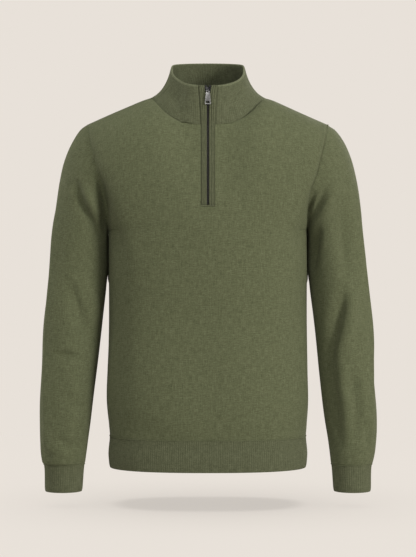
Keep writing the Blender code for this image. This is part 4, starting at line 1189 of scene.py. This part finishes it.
def zipTape(side, name):
    z = zipSizes
    sections = []
    for point, normal in zip(zipPath, zipNormals):
        parted = point[2] > sliderFoot - 2 * cloth["seamGap"]
        near, far = z["tapeParted"] if parted else cloth["seamGap"] / 2, slit["half"] - z["insideSlit"]
        deep = np.array([z["tapeBack"], z["tapeBack"], z["tapeFront"], z["tapeFront"]])[:, None]
        section = stacked((near, far, far, near), 0, 0) + point * (0, 1, 1) - normal * deep
        sections.append(section * (side, 1, 1))
    return joined(name, swept(name, sections, tapeWeave), coilTurns(side))


for side, name in ((1, "Left"), (-1, "Right")):
    pieces["zipBand" + name] = zipBand(side, "zipBand" + name)
    pieces["zipTape" + name] = zipTape(side, "zipTape" + name)
pieces["placketFoot"] = placketFoot()


def buildSlider():
    s = slider
    half = s["width"] / 2
    right = [(half * 0.2, s["front"] - 0.0001), (half * 0.55, s["front"]), (half, s["front"] + 0.0005),
             (half, s["throat"]), (s["post"], s["throat"]), (s["post"], s["rear"]),
             (half, s["rear"]), (half, s["back"])]
    outline = right + [(-x, y) for x, y in reversed(right)]
    sections = [np.array([(x * waist if abs(x) > s["post"] else x, y, z * s["length"]) for x, y in outline])
                for z, waist in s["waists"]]
    ob = swept("zipSlider", sections, sliderMetal)
    edges = ob.modifiers.new("edges", "BEVEL")
    edges.width, edges.segments = s["bevel"], 3
    edges.limit_method, edges.angle_limit = "ANGLE", math.radians(30)
    with bpy.context.temp_override(object=ob):
        bpy.ops.object.modifier_apply(modifier="edges")
    radius, thick = (s["bailInner"] + s["bailOuter"]) / 2, (s["bailOuter"] - s["bailInner"]) / 2
    root = s["front"] + s["bailRoot"]
    path = [(-s["pivotHeight"] - radius * math.sin(a), radius * math.cos(a), a)
            for a in np.linspace(0, math.pi, 17)]
    rings = []
    for y, z, a in [(root, radius, 0), *path, (root, -radius, math.pi)]:
        rings.append(np.array([(s["bailHalf"] * math.sin(b), y - math.sin(a) * thick * math.cos(b),
                                z + math.cos(a) * thick * math.cos(b) - s["pivotDrop"])
                               for b in np.arange(10) * math.pi / 5]))
    whole = joined("zipSlider", ob, swept("bail", rings, sliderMetal, 60))
    whole.data.transform(sliderPlace)
    return whole


def roundedLoop(corners, radius, steps=4):
    # corners of a closed outline, each rounded
    corners = np.array(corners, float)
    points = []
    for before, corner, after in zip(np.roll(corners, 1, 0), corners, np.roll(corners, -1, 0)):
        reach = min(radius, *(np.linalg.norm(beside - corner) / 2.1 for beside in (before, after)))
        start, end = corner + unit(before - corner) * reach, corner + unit(after - corner) * reach
        for t in np.linspace(0, 1, steps + 1):
            points.append((1 - t) ** 2 * start + 2 * t * (1 - t) * corner + t * t * end)
    return points


def boxLoop(width, high, length):
    x, low = width / 2, high - length
    return [(-x, high), (-x, low), (x, low), (x, high)]


def buildTab():
    t = tab
    left = [(-t["barWidth"] / 2, t["barHalf"]), (-t["topWidth"] * t["neckShare"], -t["neck"]),
            (-t["topWidth"] / 2, -t["shoulder"]), (-t["footWidth"] / 2, -t["length"])]
    slotTop = t["slotAbove"] - t["length"] + t["slotLength"] / 2
    loops = ((left + [(-x, z) for x, z in reversed(left)], t["corner"]),
             (boxLoop(t["eyeWidth"], -t["barHalf"], t["eyeLength"]), t["eyeCorner"]),
             (boxLoop(t["slotWidth"], slotTop, t["slotLength"]), t["slotCorner"]))
    curve = bpy.data.curves.new("tabOutline", "CURVE")
    curve.dimensions, curve.fill_mode = "2D", "BOTH"
    curve.extrude, curve.offset = t["thick"] / 2 - t["bevel"], -t["bevel"]
    curve.bevel_depth, curve.bevel_resolution = t["bevel"], 2
    for corners, radius in loops:
        loop = roundedLoop(corners, radius)
        spline = curve.splines.new("POLY")
        spline.points.add(len(loop) - 1)
        for point, place in zip(spline.points, loop):
            point.co = (*place, 0, 1)
        spline.use_cyclic_u = True
    draft = linked("tabDraft", curve)
    bpy.context.view_layer.update()
    mesh = bpy.data.meshes.new_from_object(draft.evaluated_get(bpy.context.evaluated_depsgraph_get()))
    bpy.data.objects.remove(draft, do_unlink=True)
    ob = linked("zipPullTab", finished(mesh, tabMetal, 35, merge=0.000001))
    mesh.transform(tabPlace @ Matrix.Rotation(math.pi / 2, 4, "X"))
    return ob


pieces["zipSlider"] = buildSlider()
pieces["zipPullTab"] = buildTab()
print("zip made")

# fashioning marks: the small tilted stitches beside each armhole, in a paler knit that paints a highlight on
# them

marks = {"fromSeam": (0.0075, 0.0105), "every": 0.0058, "long": 0.0028, "wide": 0.0014, "high": 0.0008,
         "first": 0.10, "last": 0.93, "within": 40}


def buildMarks(face, name):
    grid = grids[face]
    normals = normalsOf(grid, (0, face, 0))
    first, last = (body["bodyRows"] + int(body["armRows"] * marks[end]) for end in ("first", "last"))
    angles = np.arange(8)[:, None] * math.pi / 4
    vertices, faces = [], []
    sides = (-1 - np.arange(marks["within"]), np.arange(marks["within"]))
    for inward, reach in ((side, reach) for side in sides for reach in marks["fromSeam"]):
        line, outs = [], []
        for row in range(first, last):
            way = lineRun(grid[row, inward])
            line.append(readAt(reach, way, grid[row, inward]))
            outs.append(unit(readAt(reach, way, normals[row, inward])))
        line, outs = np.array(line), np.array(outs)
        way = lineRun(line)
        for at in np.arange(marks["every"] / 2, way[-1], marks["every"]):
            spot, out = readAt(at, way, line), unit(readAt(at, way, outs))
            along = unit(readAt(at + 0.002, way, line) - spot) * marks["long"] / 2
            across = np.cross(out, unit(along)) * marks["wide"] / 2
            faces += sweptFaces(8, 3, first=len(vertices))
            for lift, size in ((-0.3, 1.0), (0.6, 0.8), (1.0, 0.35)):
                vertices += list(spot + out * marks["high"] * lift
                                 + (along * np.cos(angles) + across * np.sin(angles)) * size)
    return addPiece(name, vertices, faces, highlightKnit, np.array(vertices)[:, [0, 2]], 80)


pieces["marksFront"] = buildMarks(-1, "marksFront")
pieces["marksBack"] = buildMarks(1, "marksBack")
print("marks made")

# stage

stage = {
    "floor": -0.731, "radius": 9.0, "fadeFrom": 0.5, "fadeTo": 1.4, "glow": 0.70,
    "backdrop": (0.8070, 0.7529, 0.6939, 1), "floorWhite": (0.90, 0.862, 0.827, 1),
    "fill": (0.80, 0.78, 0.75, 1), "fillStrength": 0.34,
    "shadowSoft": 0.85, "shadowPower": 2.05, "shadowColor": (1.0, 0.975, 0.9375),
}
# each light's place, the height it aims at in the middle, its size, power and colour
lights = (
    ("keyLight", (2.5, -2.1, 0.45), -0.30, 1.1, 90.0, (1.0, 0.97, 0.93)),
    ("topLight", (-0.7, -0.25, 2.3), -0.2, 0.6, 25.0, (1.0, 0.98, 0.95)),
    ("frontLight", (-0.5, -2.4, 1.9), -0.3, 1.0, 31.0, (1.0, 0.98, 0.95)),
    ("rimLight", (-2.5, 1.0, 0.35), -0.30, 0.8, 24.0, (1.0, 0.98, 0.95)),
    ("backLight", (1.5, 2.4, 0.80), -0.30, 0.9, 46.0, (1.0, 0.98, 0.95)),
)
camera = {"distance": 3.0, "side": 0.0002, "height": -0.326, "seenHigh": 1.0026}


def mixShaders(tree, share, a, b, output):
    both = addNode(tree, "MixShader", {0: share, 1: a.outputs[0], 2: b.outputs[0]})
    tree.links.new(both.outputs[0], tree.nodes[output].inputs["Surface"])


def buildFloor():
    # pale near the piece, and the backdrop's own tone further off
    mesh = bpy.data.meshes.new("floor")
    disc = bmesh.new()
    bmesh.ops.create_circle(disc, cap_ends=True, segments=96, radius=stage["radius"])
    disc.to_mesh(mesh)
    disc.free()
    ob = linked("floor", mesh)
    ob.location.z = stage["floor"]
    material, tree, shader, objectPlace = newMaterial("paleFloor")
    feed(tree, shader, {"Base Color": stage["floorWhite"], "Roughness": 0.9, "Specular IOR Level": 0.0})
    glow = addNode(tree, "Emission", {"Color": stage["backdrop"]})
    length = addNode(tree, "VectorMath", {0: objectPlace}, operation="LENGTH").outputs["Value"]
    inputs = {"Value": length, "To Min": stage["glow"],
              "From Min": stage["fadeFrom"], "From Max": stage["fadeTo"]}
    fade = addNode(tree, "MapRange", inputs, interpolation_type="SMOOTHSTEP")
    mixShaders(tree, fade.outputs["Result"], shader, glow, "Material Output")
    mesh.materials.append(material)
    return ob


def buildWorld():
    world = bpy.data.worlds.new("studio")
    world.use_nodes = True
    tree = world.node_tree
    shown = feed(tree, tree.nodes["Background"], {"Color": stage["backdrop"]})
    fill = addNode(tree, "Background", {"Color": stage["fill"], "Strength": stage["fillStrength"]})
    seen = addNode(tree, "LightPath", {}).outputs["Is Camera Ray"]
    mixShaders(tree, seen, fill, shown, "World Output")
    bpy.context.scene.world = world


def addLight(name, kind, receiver, **settings):
    data = bpy.data.lights.new(name, kind)
    for key, value in settings.items():
        setattr(data, key, value)
    ob = linked(name, data)
    ob.light_linking.receiver_collection = receiver
    return ob


def newCollection(name, members):
    collection = bpy.data.collections.new(name)
    for member in members:
        collection.objects.link(member)
    return collection


floor = buildFloor()
onlyFloor = newCollection("onlyFloor", [floor])
onlyCloth = newCollection("onlyCloth", pieces.values())
bodyNames = ("frontJersey", "backJersey", "hemFront", "hemBack", "collarBand")
onlyBody = newCollection("onlyBody", [pieces[name] for name in bodyNames])
for name, place, aim, size, power, color in lights:
    light = addLight(name, "AREA", onlyCloth, shape="DISK", size=size, energy=power, color=color)
    light.location = place
    light.rotation_euler = (Vector((0, 0, aim)) - Vector(place)).to_track_quat("-Z", "Y").to_euler()
# a light straight above shows on the floor alone, where the body alone shades it
shadowLight = addLight("shadowLight", "SUN", onlyFloor, angle=stage["shadowSoft"],
                       energy=stage["shadowPower"], color=stage["shadowColor"])
shadowLight.light_linking.blocker_collection = onlyBody
buildWorld()
bpy.context.scene.view_settings.view_transform = "Standard"

cameraObject = linked("camera", bpy.data.cameras.new("camera"))
cameraObject.data.lens = 36 / 2 / (camera["seenHigh"] / 2 / camera["distance"])
cameraObject.location = (camera["side"], -camera["distance"], camera["height"])
cameraObject.rotation_euler = (math.pi / 2, 0, 0)
bpy.context.scene.camera = cameraObject

# what each piece rides on, stands for and is finished as

standsFor = {
    "frontJersey": ("front_panel", "jersey"), "backJersey": ("back_panel", "jersey"),
    "sleeveLeft": ("sleeve_left", "jersey"), "sleeveRight": ("sleeve_right", "jersey"),
    "cuffLeft": ("cuff_left", "rib"), "cuffRight": ("cuff_right", "rib"),
    "hemFront": ("hem_rib_front", "rib"), "hemBack": ("hem_rib_back", "rib"),
    "collarBand": ("collar", "rib"),
    "zipBandLeft": ("placket_left", "rib"), "zipBandRight": ("placket_right", "rib"),
    "placketFoot": ("placket_foot", "rib"),
    "zipTapeLeft": ("zip_tape_left", "zip_tape"), "zipTapeRight": ("zip_tape_right", "zip_tape"),
    "zipSlider": ("zip_slider", "zip_metal"), "zipPullTab": ("zip_pull_tab", "zip_metal"),
}
for name, (node, slotName) in standsFor.items():
    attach(pieces[name], "pull_tab" if name == "zipPullTab" else "garment")
    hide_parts(node)
for name in ("marksFront", "marksBack"):
    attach(pieces[name], "garment")

print("all pieces placed")
